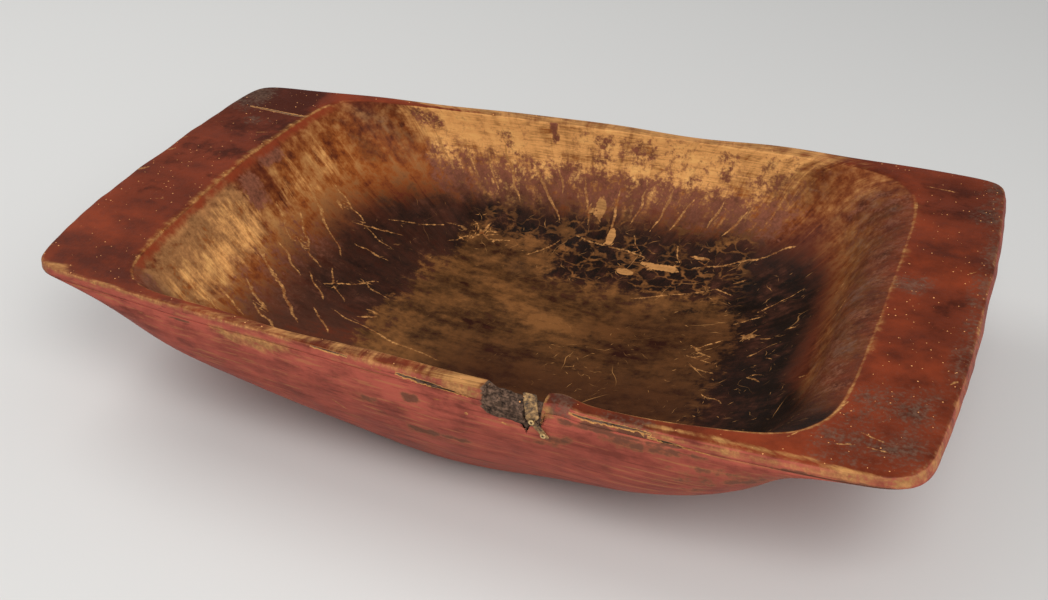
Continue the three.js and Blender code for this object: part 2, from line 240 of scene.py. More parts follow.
def rim(drop, inset, dx, dy):
    """Points of the lugs' and walls' outer edge, at a drop below the top and drawn in by inset."""
    left = (HALF - inset, LEFT_END_BOW, inset, RIM_LEFT_SQUARENESS, RIM_LEFT_SQUARENESS)
    right = (HALF - inset - RIGHT_END_BEVEL * (1 - drop / LUG_EDGE), RIGHT_END_BOW, inset,
             RIM_NEAR_RIGHT_SQUARENESS, RIM_FAR_RIGHT_SQUARENESS)
    x, y = outline(dx, dy, left, right, 1)
    return np.stack([x, y, HEIGHT - drop + 0 * x], -1)


def hollow_share(d, roundness):
    """Share of the full width that the hollow keeps at a share d of its depth: a superellipse's quarter."""
    return np.clip(1 - d ** roundness, 0, 1) ** (1 / roundness)


def hollow(d, grow, dx, dy):
    """Points of the hollow at a share d of its depth, wider by grow at the sides. The ends flare to a lip."""
    share = hollow_share(d, HOLLOW_SIDE_ROUNDNESS)
    flare = (1 - d) ** LIP_SHARPNESS
    left_reach = ((HALF - LEFT_LUG_TOP - LEFT_LIP_FLARE) * hollow_share(d, HOLLOW_LEFT_ROUNDNESS)
                  + LEFT_LIP_FLARE * flare)
    right_reach = ((HALF - RIGHT_LUG_TOP - RIGHT_LIP_FLARE) * hollow_share(d, HOLLOW_RIGHT_ROUNDNESS)
                   + RIGHT_LIP_FLARE * flare)
    left_square = blend(HOLLOW_LEFT_SQUARENESS, FLOOR_SQUARENESS, np.sqrt(d))
    right_square = blend(HOLLOW_RIGHT_SQUARENESS, FLOOR_SQUARENESS, np.sqrt(d))
    left = (left_reach, LEFT_END_BOW * share, WALL_AT_LEFT * share - grow, left_square, left_square)
    right = (right_reach, HOLLOW_RIGHT_BOW * share, WALL_AT_RIGHT * share - grow, right_square, right_square)
    x, y = outline(dx, dy, left, right, share)
    return np.stack([x, y, HEIGHT - d * DEPTH + 0 * x], -1)


def spread(steps, crowding):
    """steps + 1 values from -1 to 1, closer where crowding is larger: its running sum, turned round."""
    t = np.linspace(-1, 1, 4001)
    density = crowding(t)
    total = np.concatenate([[0], np.cumsum((density[1:] + density[:-1]) / 2)])
    return np.interp(np.linspace(0, total[-1], steps + 1), total, t)


def end_crowding(t):
    """Closer points at the corners: one plus a high power of t."""
    return 1 + CORNER_CROWDING * t ** 16


def side_crowding(t):
    """Closer points at the corners and, as a bell curve, round the notch."""
    return end_crowding(t) + NOTCH_CROWDING * np.exp(-((t - NOTCH_PLACE) / NOTCH_SPREAD) ** 2)


SIDE_RUN = spread(SIDE_STEPS, side_crowding)
END_RUN = spread(END_STEPS, end_crowding)


def border():
    """Directions round the square's border, near side first and counter-clockwise from above."""
    dx = np.concatenate([SIDE_RUN[:-1], np.ones(END_STEPS), SIDE_RUN[:0:-1], -np.ones(END_STEPS)])
    dy = np.concatenate([-np.ones(SIDE_STEPS), END_RUN[:-1], np.ones(SIDE_STEPS), END_RUN[:0:-1]])
    return dx, dy


def lined_up(dx, dy, t):
    """dx slid outwards along the long sides, so that the hollow's columns meet those of the outer edge."""
    slide = HALF / (HALF - (LEFT_LUG_TOP + RIGHT_LUG_TOP) / 2) - 1
    return dx * (1 + slide * t ** 2 * (1 - dx ** 2) * (np.abs(dy) == 1))


def depth_at(t):
    """Depth share at t, from the lip's rounding at 1 to the floor's middle at 0, in even steps of length.

    The steps are even on a profile that reaches 0.29 of both end widths from the middle.
    """
    depths = np.sin(np.linspace(0, np.pi / 2, 801)) ** 0.8
    width = (LEFT_WIDTH + RIGHT_WIDTH) * 0.29 * hollow_share(depths, HOLLOW_SIDE_ROUNDNESS)
    run = np.concatenate([[0], np.cumsum(np.hypot(np.diff(width), DEPTH * np.diff(depths)))])
    run /= run[-1]
    start = np.interp(LIP_ROUNDING / DEPTH, depths, run)
    return np.interp(blend(start, 1, 1 - t), run, depths)


def make_mesh(name, points, faces):
    """Smooth mesh object from points in millimetres and a list of faces."""
    mesh = bpy.data.meshes.new(name)
    mesh.from_pydata((points * MM).tolist(), [], faces)
    mesh.polygons.foreach_set("use_smooth", np.ones(len(mesh.polygons), bool))
    mesh.update()
    made = bpy.data.objects.new(name, mesh)
    bpy.context.scene.collection.objects.link(made)
    return made


def rows_to_quads(rows, columns, first=0):
    """Quads between neighbouring closed rows of points, each row of columns points."""
    start, spin = first + np.arange(rows - 1)[:, None] * columns, np.arange(columns)
    low, step = start + spin, start + (spin + 1) % columns
    return np.stack([low, step, step + columns, low + columns], -1).reshape(-1, 4)


def trough_rows():
    """Closed rows of the surface from the base's middle, up the hull, over the rim to the hollow's lip.

    Returns the rows as one array, the share of the way over the rim that each row has reached, and the
    numbers of the rows at the outer edge and at the hollow's edge.
    """
    dx, dy = border()
    turns = [(1 - math.cos(a), 1 - math.sin(a)) for a in np.linspace(0, np.pi / 2, ROUNDING_STEPS + 1)]
    middle = ROUNDING_STEPS // 2 + 1
    rows = [hull(np.float64(0), 2 * BASE_ROUNDING, dx, dy) * [share, share, 1] for share in BASE_ROWS]
    start = BASE_ROUNDING / (HEIGHT - LUG_EDGE)
    rows += [hull(start * rise, 2 * BASE_ROUNDING * inset, dx, dy) for rise, inset in turns[:-1]]
    rows += [hull(blend(start, 1, 1 - (1 - t) ** HULL_CROWDING), 0, dx, dy)
             for t in np.linspace(0, 1, HULL_ROWS + 1)[:-1]]
    rows += [rim(LUG_EDGE - UNDER_ROUNDING * rise, UNDER_ROUNDING * inset, dx, dy)
             for rise, inset in turns[::2]]
    rows += [rim(drop, 0, dx, dy) for drop in EDGE_ROW_DROPS]
    rows += [rim(EDGE_ROUNDING * drop, EDGE_ROUNDING * inset, dx, dy) for inset, drop in turns]
    outer_edge = len(rows) - middle
    shares = np.linspace(0, 1, RIM_ROWS + 2)[1:-1]
    cross = [0.0] * len(rows) + shares.tolist() + [1.0] * len(turns)
    inner_dx = lined_up(dx, dy, 1)
    outer, inner = rows[-1], hollow(np.float64(0), LIP_ROUNDING, inner_dx, dy)
    rows += [blend(outer, inner, share) for share in shares]
    rows += [hollow(LIP_ROUNDING / DEPTH * fall, LIP_ROUNDING * inset, inner_dx, dy) for fall, inset in turns]
    return np.stack(rows), np.array(cross), outer_edge, len(rows) - middle


def hollow_grid():
    """The hollow on a square grid, where t runs from 0 in the middle to 1 at the border.

    Gives t, the directions to the border and the points.
    """
    sides, ends = np.linspace(-1, 1, SIDE_STEPS + 1), np.linspace(-1, 1, END_STEPS + 1)
    p, q = np.meshgrid(sides, ends)
    t = np.maximum(np.abs(p), np.abs(q))
    safe = np.maximum(t, 1e-9)
    on_side = np.abs(q) >= np.abs(p)
    along, up = np.interp(p / safe, sides, SIDE_RUN), np.interp(q / safe, ends, END_RUN)
    dx = np.where(on_side, along, np.sign(p))
    dy = np.where(on_side, np.sign(q) + (q == 0), up)
    dx = lined_up(dx, dy, t)
    return t, dx, dy, hollow(depth_at(t), 0, dx, dy)


def fall_from_edge(t, dx, dy, steps=32):
    """Length down the wall from the hollow's edge, summed in short steps along its profile, and the edge."""
    edge = hollow(np.zeros_like(t), 0, dx, dy)
    radius = np.hypot(edge[..., 0], edge[..., 1])
    depths = depth_at(t)[None] * np.linspace(0, 1, steps + 1)[:, None, None]
    widths = radius * hollow_share(depths, HOLLOW_SIDE_ROUNDNESS)
    return np.hypot(np.diff(widths, axis=0), DEPTH * np.diff(depths, axis=0)).sum(0), edge


def notch_drop(x, cross):
    """How far the broken rim lies below the top: straight runs between a few points, outside and inside."""
    cleft_left, cleft_right = CLEFT_X - CLEFT_WIDTH / 2, CLEFT_X + CLEFT_WIDTH / 2
    quarter = (cleft_left - NOTCH_LEFT) / 4
    left = [*[NOTCH_LEFT + quarter * way for way, share in NOTCH_SLOPE], cleft_left]
    ramp = np.array([*[share for way, share in NOTCH_SLOPE], 1])
    outside = np.interp(x, [*left, CLEFT_X, cleft_right, NOTCH_RIGHT, NOTCH_RIGHT + NOTCH_STEP_OUTSIDE],
                        [*ramp * NOTCH_DROP_OUTSIDE, CLEFT_DROP, NOTCH_DROP_OUTSIDE, NOTCH_DROP_OUTSIDE, 0])
    inside = np.interp(x, [*left, NOTCH_RIGHT, NOTCH_RIGHT + NOTCH_STEP_INSIDE],
                       [*ramp * NOTCH_DROP_INSIDE, NOTCH_DROP_INSIDE, 0])
    return blend(outside, inside, cross)


def break_rim(points, cross):
    """Lowers the near wall's top into the notch, and raises the worn swelling to the right of it.

    The move fades out evenly down the wall, and is a little rough away from the strip. The outer face keeps
    its slope.
    """
    x, y, z = points.T
    drop = HEIGHT - z
    near = (y < -NEAR_WALL_FROM) & (drop < BREAK_REACH_OUTSIDE)
    lowered = notch_drop(x, cross) * near
    along_wall = points * [1, 1, 0]
    rough = sum(wobble(along_wall, length, seed) * height for length, seed, height in BREAK_WAVES)
    from_strip = np.abs(x - blend(STRIP_OUTSIDE_X, STRIP_INSIDE_X, cross)) - STRIP_WIDTH / 2
    lowered = np.clip(lowered + rough * ease(1, 5, lowered) * ease(0, 3, from_strip), 0, None)
    swelling = SWELLING_HEIGHT * np.exp(-((x - SWELLING_X) / SWELLING_REACH) ** 2)
    swelling *= ease(NOTCH_RIGHT, NOTCH_RIGHT + 3, x) * near
    reach = np.where(cross > 0.5, BREAK_REACH_INSIDE, BREAK_REACH_OUTSIDE)
    moved = z - (lowered - swelling) * np.clip(1 - drop / reach, 0, 1)
    outside = (cross == 0) & near
    y = np.where(outside, y * hull_share(moved) / hull_share(z), y)
    return np.stack([x, y, moved], -1)


def gather(values, quads, count):
    """Sums of the quads' values at their corners, made unit vectors."""
    total = np.zeros((count, 3))
    for corner in range(4):
        np.add.at(total, quads[:, corner], values)
    return total / np.maximum(np.linalg.norm(total, axis=1), 1e-12)[:, None]


def smooth_normals(points, quads, rounds=10):
    """Unit normals at the points: the crossed diagonals of the quads, evened out over neighbours."""
    diagonals = np.cross(points[quads[:, 2]] - points[quads[:, 0]], points[quads[:, 3]] - points[quads[:, 1]])
    normals = gather(diagonals, quads, len(points))
    for _ in range(rounds):
        normals = gather(normals[quads].mean(1), quads, len(points))
    return normals


# Way that stands for the one from either edge to the base's middle, and one longer than any over the rim
BASE_WAY, RIM_WAY = 500, 200


def carve_surface():
    """The whole trough: points, quads, the fan at the base's middle, and fields on the points.

    cross is the share of the way over the rim, down the way into the hollow from its edge, out the way down
    from the outer edge, and edge_x and edge_y the place on the hollow's edge that the point lies below.
    """
    rows, cross, outer_edge, inner_edge = trough_rows()
    count, columns = rows.shape[:2]
    lengths = np.linalg.norm(np.diff(rows, axis=0), axis=-1)
    path = np.concatenate([np.zeros((1, columns)), np.cumsum(lengths, 0)])
    t, dx, dy, grid = hollow_grid()
    fall, edge = fall_from_edge(t, dx, dy)
    inside = (slice(1, -1), slice(1, -1))
    points = np.concatenate([[[0, 0, 0]], rows.reshape(-1, 3), grid[inside].reshape(-1, 3)])
    ring_edge = rows[inner_edge]
    fall_inside = fall[inside].ravel()
    fields = {
        "cross": np.concatenate([[0], np.repeat(cross, columns), np.ones(len(fall_inside))]),
        "down": np.concatenate([[-BASE_WAY], (path - path[inner_edge]).ravel(), fall_inside]),
        "out": np.concatenate([[BASE_WAY], (path[outer_edge] - path).ravel(), -RIM_WAY - fall_inside]),
        "edge_x": np.concatenate([[0], np.tile(ring_edge[:, 0], count), edge[inside][..., 0].ravel()]),
        "edge_y": np.concatenate([[0], np.tile(ring_edge[:, 1], count), edge[inside][..., 1].ravel()]),
    }
    number = np.zeros((END_STEPS + 1, SIDE_STEPS + 1), int)
    number[inside] = 1 + count * columns + np.arange(len(fall_inside)).reshape(END_STEPS - 1, -1)
    last = 1 + (count - 1) * columns
    number[0, :-1] = last + np.arange(SIDE_STEPS)
    number[:-1, -1] = last + SIDE_STEPS + np.arange(END_STEPS)
    number[-1, :0:-1] = last + SIDE_STEPS + END_STEPS + np.arange(SIDE_STEPS)
    number[:0:-1, 0] = last + 2 * SIDE_STEPS + END_STEPS + np.arange(END_STEPS)
    floor = np.stack([number[:-1, :-1], number[:-1, 1:], number[1:, 1:], number[1:, :-1]], -1).reshape(-1, 4)
    quads = np.concatenate([rows_to_quads(count, columns, 1), floor])
    spin = np.arange(columns)
    fan = np.stack([0 * spin, 1 + (spin + 1) % columns, 1 + spin], -1)
    points[:, 1] += MIDDLE_SHIFT
    return points, quads, fan, fields


# Soft rectangles of wear on the hollow's walls: from and to along the edge, from and to down the wall, width
# of the soft sides along and down, and strength
BARE_WALLS = {
    "far": [(-222, 222, -20, 60, 80, 80, 1.0), (-180, -80, 30, 100, 40, 40, 0.6),
            (-45, 60, 40, 108, 40, 40, 0.45), (130, 240, 40, 84, 40, 30, 0.4)],
    "left": [(-172, -18, 26, 60, 50, 36, 0.5), (-66, 2, 14, 56, 30, 24, 0.5),
             (40, 160, 22, 56, 60, 40, 0.28)],
    "right": [(200, 240, -10, 60, 40, 40, 0.15)],
    "near": [(-230, 250, -10, 46, 80, 60, 0.8)],
}
TAN_WALLS = {
    "far": [(-300, -225, 6, 40, 30, 24, 0.3)],
    "left": [(-184, -4, 3, 56, 24, 34, 1.0), (120, 206, 2, 26, 50, 20, 0.25)],
}
OLIVE_WALLS = {
    "far": [(-290, -236, 4, 60, 40, 40, 0.3), (180, 270, 6, 50, 60, 40, 0.35)],
    "left": [(-205, -170, 4, 80, 40, 50, 0.5), (176, 210, 10, 60, 30, 40, 0.35)],
    "right": [(-190, 215, 2, 58, 60, 40, 0.55)],
}
ORANGE_WALLS = {
    "far": [(-290, -205, 10, 84, 30, 40, 0.75), (-240, 270, 30, 100, 60, 50, 0.6),
            (190, 310, -20, 60, 60, 40, 0.42)],
    "left": [(48, 204, 6, 84, 36, 80, 1.0), (-190, 70, 30, 100, 30, 90, 0.8)],
    "right": [(60, 225, 24, 74, 90, 40, 0.45), (-130, 60, 34, 62, 60, 40, 0.4)],
    "near": [(-250, 250, 10, 100, 80, 60, 0.6)],
}
MOTTLED_WALLS = {
    "far": [(-30, 56, 4, 44, 40, 20, 0.46), (-134, -112, 16, 34, 14, 12, 0.5),
            (-226, -190, 4, 22, 14, 12, 0.6), (-67, -59, -2, 22, 5, 8, 1.0), (126, 146, 2, 42, 16, 20, 0.6),
            (-240, 250, 44, 96, 60, 36, 0.75), (165, 240, 20, 70, 30, 20, 0.45),
            (-220, 20, 0, 40, 40, 20, 0.12), (20, 250, 0, 40, 40, 20, 0.22)],
    "left": [(6, 30, 8, 36, 14, 14, 1.0), (50, 86, 4, 14, 20, 8, 1.0), (-205, -176, 2, 30, 16, 16, 0.9),
             (-120, 60, 60, 130, 40, 60, 0.5)],
    "right": [(-160, 215, 2, 46, 60, 30, 0.35)],
    "near": [(-200, 200, 20, 80, 60, 40, 0.6)],
}
# The same on the plan of the hollow, from and to along and across
FLOOR_WORN = [
    (-142, 178, -235, 104, 44, 44, 1.0), (-128, -28, 80, 164, 34, 44, 1.0),
    (-36, 158, 90, 122, 30, 30, 0.7), (-154, -120, -70, 20, 18, 40, 0.8),
]
# Dark soil on the floor. Along the near wall and in the near right corner it is painted shade as well
FLOOR_DARK = [
    (-244, -128, -40, 200, 90, 90, 0.65), (-150, 180, 108, 204, 60, 60, 0.9),
    (160, 262, -215, 190, 60, 90, 1.0), (-200, 200, -205, -160, 60, 40, 0.5),
]
# Painted shade: the floor darker on its near and right parts, in the near wall's shade
FLOOR_SHADED = [
    (-70, 190, -240, -10, 90, 110, 0.9), (40, 200, -40, 90, 80, 60, 0.5),
    (-140, 0, -240, -110, 60, 60, 0.6),
]
CRACKLED = [(-40, 165, 102, 205, 30, 26, 1.0), (-120, -20, 140, 205, 40, 30, 0.6)]
# On the lugs and the rims, from and to along and across: darker soiling
DARK_TOP = [
    (-396, -306, 152, 215, 30, 5, 0.9), (-400, -290, 50, 180, 60, 110, 0.6),
    (318, 392, 150, 240, 40, 50, 0.6), (316, 378, -240, -130, 50, 60, 0.36),
    (-400, -310, 20, 80, 40, 40, 0.5), (-400, -296, -80, 60, 60, 60, 0.3),
    (350, 392, -60, 30, 30, 40, 0.5),
]
# Raw broken wood in the notch
ROUGH_TOP = [(54, 104, -270, -228, 8, 6, 1.0)]
# Weathered grey on the top, and bare ochre there and on the rims
GREY_TOP = [
    (-398, -362, 145, 205, 30, 40, 0.7), (312, 354, 10, 42, 24, 22, 0.6),
    (322, 352, -190, -140, 30, 40, 0.55), (306, 350, -246, -200, 40, 30, 0.5),
    (346, 384, -234, -180, 30, 40, 0.5), (316, 390, -246, -130, 60, 50, 0.36),
    (370, 404, 150, 260, 30, 60, 0.5), (384, 404, -120, 170, 14, 80, 0.45),
    (110, 128, -262, -238, 6, 6, 0.8), (56, 68, -262, -236, 8, 8, 1.0),
    (-362, -338, 116, 134, 16, 14, 0.55), (150, 190, -262, -246, 20, 6, 0.5),
]
BARE_TOP = [
    (4, 60, -262, -226, 50, 10, 0.8), (-60, 24, -256, -244, 40, 8, 0.45),
    (99, 108, -262, -244, 4, 6, 0.95), (320, 396, -262, -252, 40, 5, 0.65),
    (-398, -350, -212, -200, 20, 6, 0.55), (-402, -390, -206, -170, 8, 20, 0.75),
    (-360, -290, -224, -216, 20, 5, 0.6), (186, 310, -255, -249, 30, 5, 0.6),
    (-330, -160, -242, -236, 60, 4, 0.45), (-236, 236, 222, 268, 90, 8, 0.8),
    (-300, -30, -246, -224, 80, 6, 0.45),
]
# Near side: from and to along, from and to below the edge
BARE_SIDE = [
    (-196, -122, 9, 28, 22, 12, 0.85), (-190, -138, 20, 37, 18, 12, 0.7), (99, 114, 3, 26, 6, 8, 0.85),
    (16, 58, -2, 10, 30, 6, 0.8), (330, 398, -2, 9, 40, 6, 0.75), (232, 340, 2, 8, 40, 5, 0.6),
    (190, 312, 2, 6, 30, 4, 0.7), (-400, -370, -2, 12, 16, 10, 0.7), (-360, -200, -2, 4, 50, 4, 0.5),
    (-200, -30, -2, 4, 50, 4, 0.45),
]
BROWN_SIDE = [
    (-15, -2, 24, 33, 8, 6, 0.8), (53, 70, 17, 24, 10, 5, 0.75), (-20, 9, 65, 74, 14, 7, 0.85),
    (14, 38, 67, 74, 14, 6, 0.7), (136, 160, 7, 18, 10, 6, 0.9), (164, 188, 3, 11, 10, 5, 0.9),
    (198, 216, 8, 18, 8, 6, 0.9), (118, 204, 18, 34, 24, 12, 0.6), (150, 250, 30, 60, 40, 20, 0.5),
    (-240, -216, 17, 24, 12, 6, 0.7), (90, 130, 54, 66, 20, 10, 0.6), (280, 370, 9, 16, 30, 6, 0.9),
    (-80, -40, 44, 52, 16, 8, 0.5), (200, 300, 60, 140, 60, 60, 0.36),
]
# Lens-shaped pale strokes on the walls: place along the edge and way down the wall at both ends, and a half
# width, which is drawn in by the breadth that strokes is given
LEFT_DRIPS = [
    (-110, 58, -127, 82, 1.6), (-75, 66, -102, 97, 1.5), (-22, 34, -36, 62, 2.2), (-30, 60, -57, 92, 1.9),
    (-45, 84, -78, 110, 1.4), (0, 62, -22, 96, 1.6), (22, 72, 8, 104, 1.3), (52, 60, 18, 90, 1.3),
    (88, 50, 60, 94, 1.4), (36, 40, 14, 70, 1.1), (-70, 102, -97, 122, 1.3), (-100, 84, -124, 112, 1.1),
    (-8, 100, -40, 126, 1.0), (64, 88, 44, 112, 1.0), (-132, 40, -140, 66, 1.2), (108, 70, 106, 78, 1.6),
    (-28, 162, -30, 176, 1.8), (100, 92, 140, 134, 0.8), (76, 110, 86, 146, 0.8),
    (120, 60, 112, 100, 0.9), (20, 110, -30, 140, 0.8), (-60, 124, -100, 150, 0.9),
]
FAR_STREAKS = [
    (-126, 26, -122, 92, 1.8), (-92, 52, -62, 104, 2.0), (-208, 28, -204, 58, 1.8),
    (-150, 36, -148, 84, 1.4), (-176, 30, -172, 72, 1.3), (-30, 56, -14, 104, 1.6), (-5, 74, 2, 92, 7.5),
    (18, 60, 20, 116, 2.0), (22, 104, 30, 125, 8.0), (52, 58, 46, 98, 1.6), (84, 56, 78, 100, 1.8),
    (112, 60, 104, 96, 1.5), (150, 58, 148, 92, 1.5), (184, 62, 178, 96, 1.4), (-60, 50, -58, 76, 1.4),
]
RIGHT_STREAKS = [
    (-20, 118, -16, 130, 1.2), (10, 118, 16, 126, 1.0), (70, 104, 78, 116, 1.6), (62, 126, 70, 140, 1.4),
    (80, 140, 74, 162, 1.6), (20, 180, 45, 215, 1.5), (86, 180, 64, 212, 1.6), (-60, 60, -50, 72, 0.9),
    (40, 30, 20, 50, 1.0), (110, 40, 90, 66, 1.0),
]
# Pale strokes on the plan of the hollow's floor
FLOOR_STROKES = [
    (-132, 150, -96, 166, 1.0), (-122, 138, -106, 172, 1.2), (-128, 168, -98, 146, 0.9),
    (-150, 150, -118, 158, 0.7), (-140, 128, -118, 150, 0.8), (-108, 150, -80, 158, 0.8),
    (-220, 96, -180, 85, 0.8), (-206, 124, -150, 146, 0.8), (107, 161, 209, 186, 1.0),
    (56, 160, 98, 156, 7.0), (36, 148, 54, 140, 7.5), (106, 177, 124, 174, 3.0),
    (-186, -42, -68, -57, 1.4), (-12, 206, 0, 198, 3.2), (184, 62, 200, 56, 3.0), (186, 52, 198, 70, 1.6),
    (210, -16, 224, -28, 1.6), (156, 146, 170, 150, 1.4), (168, 22, 142, 42, 1.6),
    (-20, 178, 60, 168, 0.9), (40, 190, 66, 150, 0.8), (-164, -34, -150, -24, 1.8),
    (88, 186, 96, 166, 0.9), (128, 140, 160, 128, 0.9), (-60, 140, -30, 170, 0.8),
    (190, 100, 230, 130, 0.7), (170, 80, 200, 96, 0.7), (60, 109, 140, 134, 0.8), (150, 10, 176, -6, 1.0),
    (200, 20, 226, 40, 0.8), (176, -40, 200, -60, 0.9), (-190, 20, -150, 10, 0.7),
    (-210, -10, -170, 30, 0.7),
]
# Grey cracks on the near side, along and below its edge
SIDE_CRACKS = [(-20, 5, 44, 11, 2.6), (126, 5, 190, 4, 2.0), (-100, 1, -64, 2, 1.2), (188, 8, 236, 12, 1.4)]
CRACK_DEPTH = 1.8
# Check in the end grain of the left lug
LUG_CHECK = [(-372, 152, -303, 154, 1.6)]
# Chips where the paint has come off: on the near side along and below the edge, and on the lugs' plan
SIDE_CHIPS = [
    (70, 33, 75, 36, 2.4), (75, 36, 79, 37, 2.2), (39, 32, 42, 33, 1.8), (12, 22, 19, 23, 1.6),
    (64, 30, 77, 25, 1.6), (-38, 5, -32, 6, 1.8), (-88, 70, -74, 81, 1.4),
]
LUG_CHIPS = [
    (-399, -18, -393, -10, 3.2), (-398, 32, -393, 38, 2.0), (-400, 58, -395, 64, 1.6),
    (-336, 100, -328, 104, 1.1), (-350, -64, -346, -62, 1.0), (378, 60, 384, 66, 1.2),
    (388, -120, 393, -112, 1.4), (320, -168, 308, -196, 0.8), (308, -196, 286, -232, 0.9),
    (336, -206, 352, -212, 0.9), (340, -222, 360, -224, 0.8), (322, -226, 334, -222, 0.8),
    (320, 215, 348, 214, 1.0),
]


# Marks that the material reads, three to an attribute
MARK_GROUPS = {
    "wear": ("bare", "tan", "orange"),
    "soil": ("black", "grey", "worn_floor"),
    "zones": ("crackled", "fingers", "side"),
    "films": ("film", "top", "olive"),
    "rims": ("lip", "band", "edge"),
    "stains": ("mottled", "dark_top", "rough"),
    "side_marks": ("brown", "upper_side", "inside"),
}
# Where a mark fades in or out, from and to: heights, ways down the wall or below the outer edge, and places
# along or across the trough
FLOOR_FADE = (105, 118)
SIDE_WALL_FADE, END_WALL_FADE = (130, 200), (240, 306)
FAR_FINGERS_X, FAR_FINGERS_Y, RIGHT_FINGERS_X = (180, 260), (120, 200), (200, 300)
FINGERS_START, FINGERS_END = (20, 50), (80, 130)
FLOOR_SOIL_AND_SHADE_FADE, LOWER_WALL_FADE = (60, 110), (34, 120)
ROUGH_FADE, UPPER_SIDE_FADE = (3, 11), (30, 60)
BAND_START, BAND_END = (0, 2), (3, 9)
LEFT_LIP, FAR_LIP = (290, 306), (180, 220)
NEAR_RIGHT_LIP_X, NEAR_RIGHT_LIP_Y = (120, 240), (-190, -80)
EDGE_WEAR_AND_HIGHLIGHT_START, EDGE_WEAR_AND_HIGHLIGHT_END = (-400, -380), (-90, -20)
END_WEAR_AND_HIGHLIGHT_X, END_WEAR_AND_HIGHLIGHT_START, END_WEAR_AND_HIGHLIGHT_STOP = (385, 392), (-50, -30), (0, 20)
# How far marks of the top reach round the outer edge
BARE_EDGE, GREY_EDGE, ROUGH_EDGE = 4, 12, 25
# Line that the soil on the right wall starts at: its drop, how it climbs past a place, and its softness
SOIL_DROP, SOIL_CLIMB, SOIL_LEVEL_TO, SOIL_SOFTNESS = 102, 0.62, -20, 26
# Worn lines: drop and width of the lip's, width of the edge's and what its near part adds. The edge's pale
# line is a painted highlight as well as wear
LIP_LINE_DROP, LIP_LINE_WIDTH = -0.5, 1.6
EDGE_LINE_WIDTH, EDGE_LINE_GROWTH = 1.8, 1.6
# Strokes: how far they bend, and where those of the ends, the far wall and the floor may lie
BEND = 1.6
END_STROKES_FROM, FAR_STROKES_FROM, FLOOR_STROKES_BELOW = 250, 150, 100
# A distance past every stroke, and the narrowest groove
FAR_OFF, NARROWEST_GROOVE = 1000.0, 0.3
# Waves of the carved surface: wavelength, seed and how far they are drawn out along each axis. The scoops set
# in on the way down the walls, and all the waves above the base
BROAD_WAVES, GRAIN_WAVES, SCOOPS = (95, 1, (1.6, 1, 1)), (26, 2, (6, 1, 1)), (30, 3)
SCOOPS_START, ABOVE_BASE = (4, 30), (1, 12)
# Even wood under the strip: half of its width, its shift, its soft side, and where it ends down and inwards
STRIP_ROOM, STRIP_ROOM_SHIFT, STRIP_ROOM_FADE = 12, 4, 6
BELOW_STRIP, BEHIND_STRIP = (35, 60), (-200, -150)


def areas(places, table):
    """Strength of the strongest soft rectangle at each place: a soft step at each of its four sides."""
    u, v = places.T
    total = np.zeros(len(places))
    for u0, u1, v0, v1, soft_u, soft_v, strength in table:
        half_u, half_v = soft_u / 2, soft_v / 2
        within_u = ease(u0 - half_u, u0 + half_u, u) * (1 - ease(u1 - half_u, u1 + half_u, u))
        within_v = ease(v0 - half_v, v0 + half_v, v) * (1 - ease(v1 - half_v, v1 + half_v, v))
        total = np.maximum(total, strength * within_u * within_v)
    return total


def wall_areas(at, table):
    """Strength of the strongest rectangle on the four walls, which fade into each other at the corners."""
    by_x, by_y = np.stack([at.edge_x, at.down], -1), np.stack([at.edge_y, at.down], -1)
    walls = {
        "far": (by_x, ease(*SIDE_WALL_FADE, at.edge_y)),
        "near": (by_x, ease(*SIDE_WALL_FADE, -at.edge_y)),
        "left": (by_y, ease(*END_WALL_FADE, -at.edge_x)),
        "right": (by_y, ease(*END_WALL_FADE, at.edge_x)),
    }
    found = [areas(places, table.get(wall, ())) * share for wall, (places, share) in walls.items()]
    return np.max(found, axis=0)


def strokes(places, table, where, breadth=0.65):
    """Nearest lens-shaped stroke: signed distance to its line, distance to its run, and half of its width.

    Half of the width is breadth times the table's, times the root of 1 - (2 s - 1)^2, with s the share of the
    stroke's length. Where says which points a table's strokes may lie on.
    """
    best = np.full(len(places), FAR_OFF)
    found = np.stack([best, best, np.zeros(len(places))], -1)
    for u0, v0, u1, v1, half in table:
        run = np.array([u1 - u0, v1 - v0])
        length = np.hypot(*run)
        offset = places - [u0, v0]
        share = offset @ run / length ** 2
        signed = (offset[:, 0] * run[1] - offset[:, 1] * run[0]) / length
        beyond = np.maximum(np.abs(share - 0.5) - 0.5, 0) * length
        plain = np.hypot(signed, beyond)
        width = half * breadth * np.sqrt(np.clip(1 - (2 * share - 1) ** 2, 0, 1))
        closer = where & (plain - width < best)
        best = np.where(closer, plain - width, best)
        found = np.where(closer[:, None], np.stack([signed, plain, width], -1), found)
    return found


def nearest(*found):
    """Of several tables' strokes, the one whose side is nearest at each point."""
    gap = np.stack([field[:, 1] - field[:, 2] for field in found])
    return np.take_along_axis(np.stack(found), gap.argmin(0)[None, :, None], 0)[0]


def groove(field, depth):
    """Depth cut along a stroke: full in a flat middle, and less as the square of the way to its sides."""
    width = np.maximum(field[:, 2], NARROWEST_GROOVE)
    return depth * np.clip(1.3 - (field[:, 1] / width) ** 2, 0, 1) * (field[:, 2] > 0)


def whereabouts(points, fields):
    """The points' fields, which part of the trough they lie on, and their places on two plans.

    plan is seen from above, and near_side is along the trough and down from its outer edge.
    """
    x, y, z = points.T
    at = SimpleNamespace(x=x, y=y, z=z, **fields)
    at.inside, at.top, at.side = at.down > 0, (at.down <= 0) & (at.out <= 0), at.out > 0
    at.near = at.side & (y < 0)
    at.plan, at.near_side = points[:, :2], np.stack([x, at.out], -1)
    at.floor = at.inside * (1 - ease(*FLOOR_FADE, z))
    return at


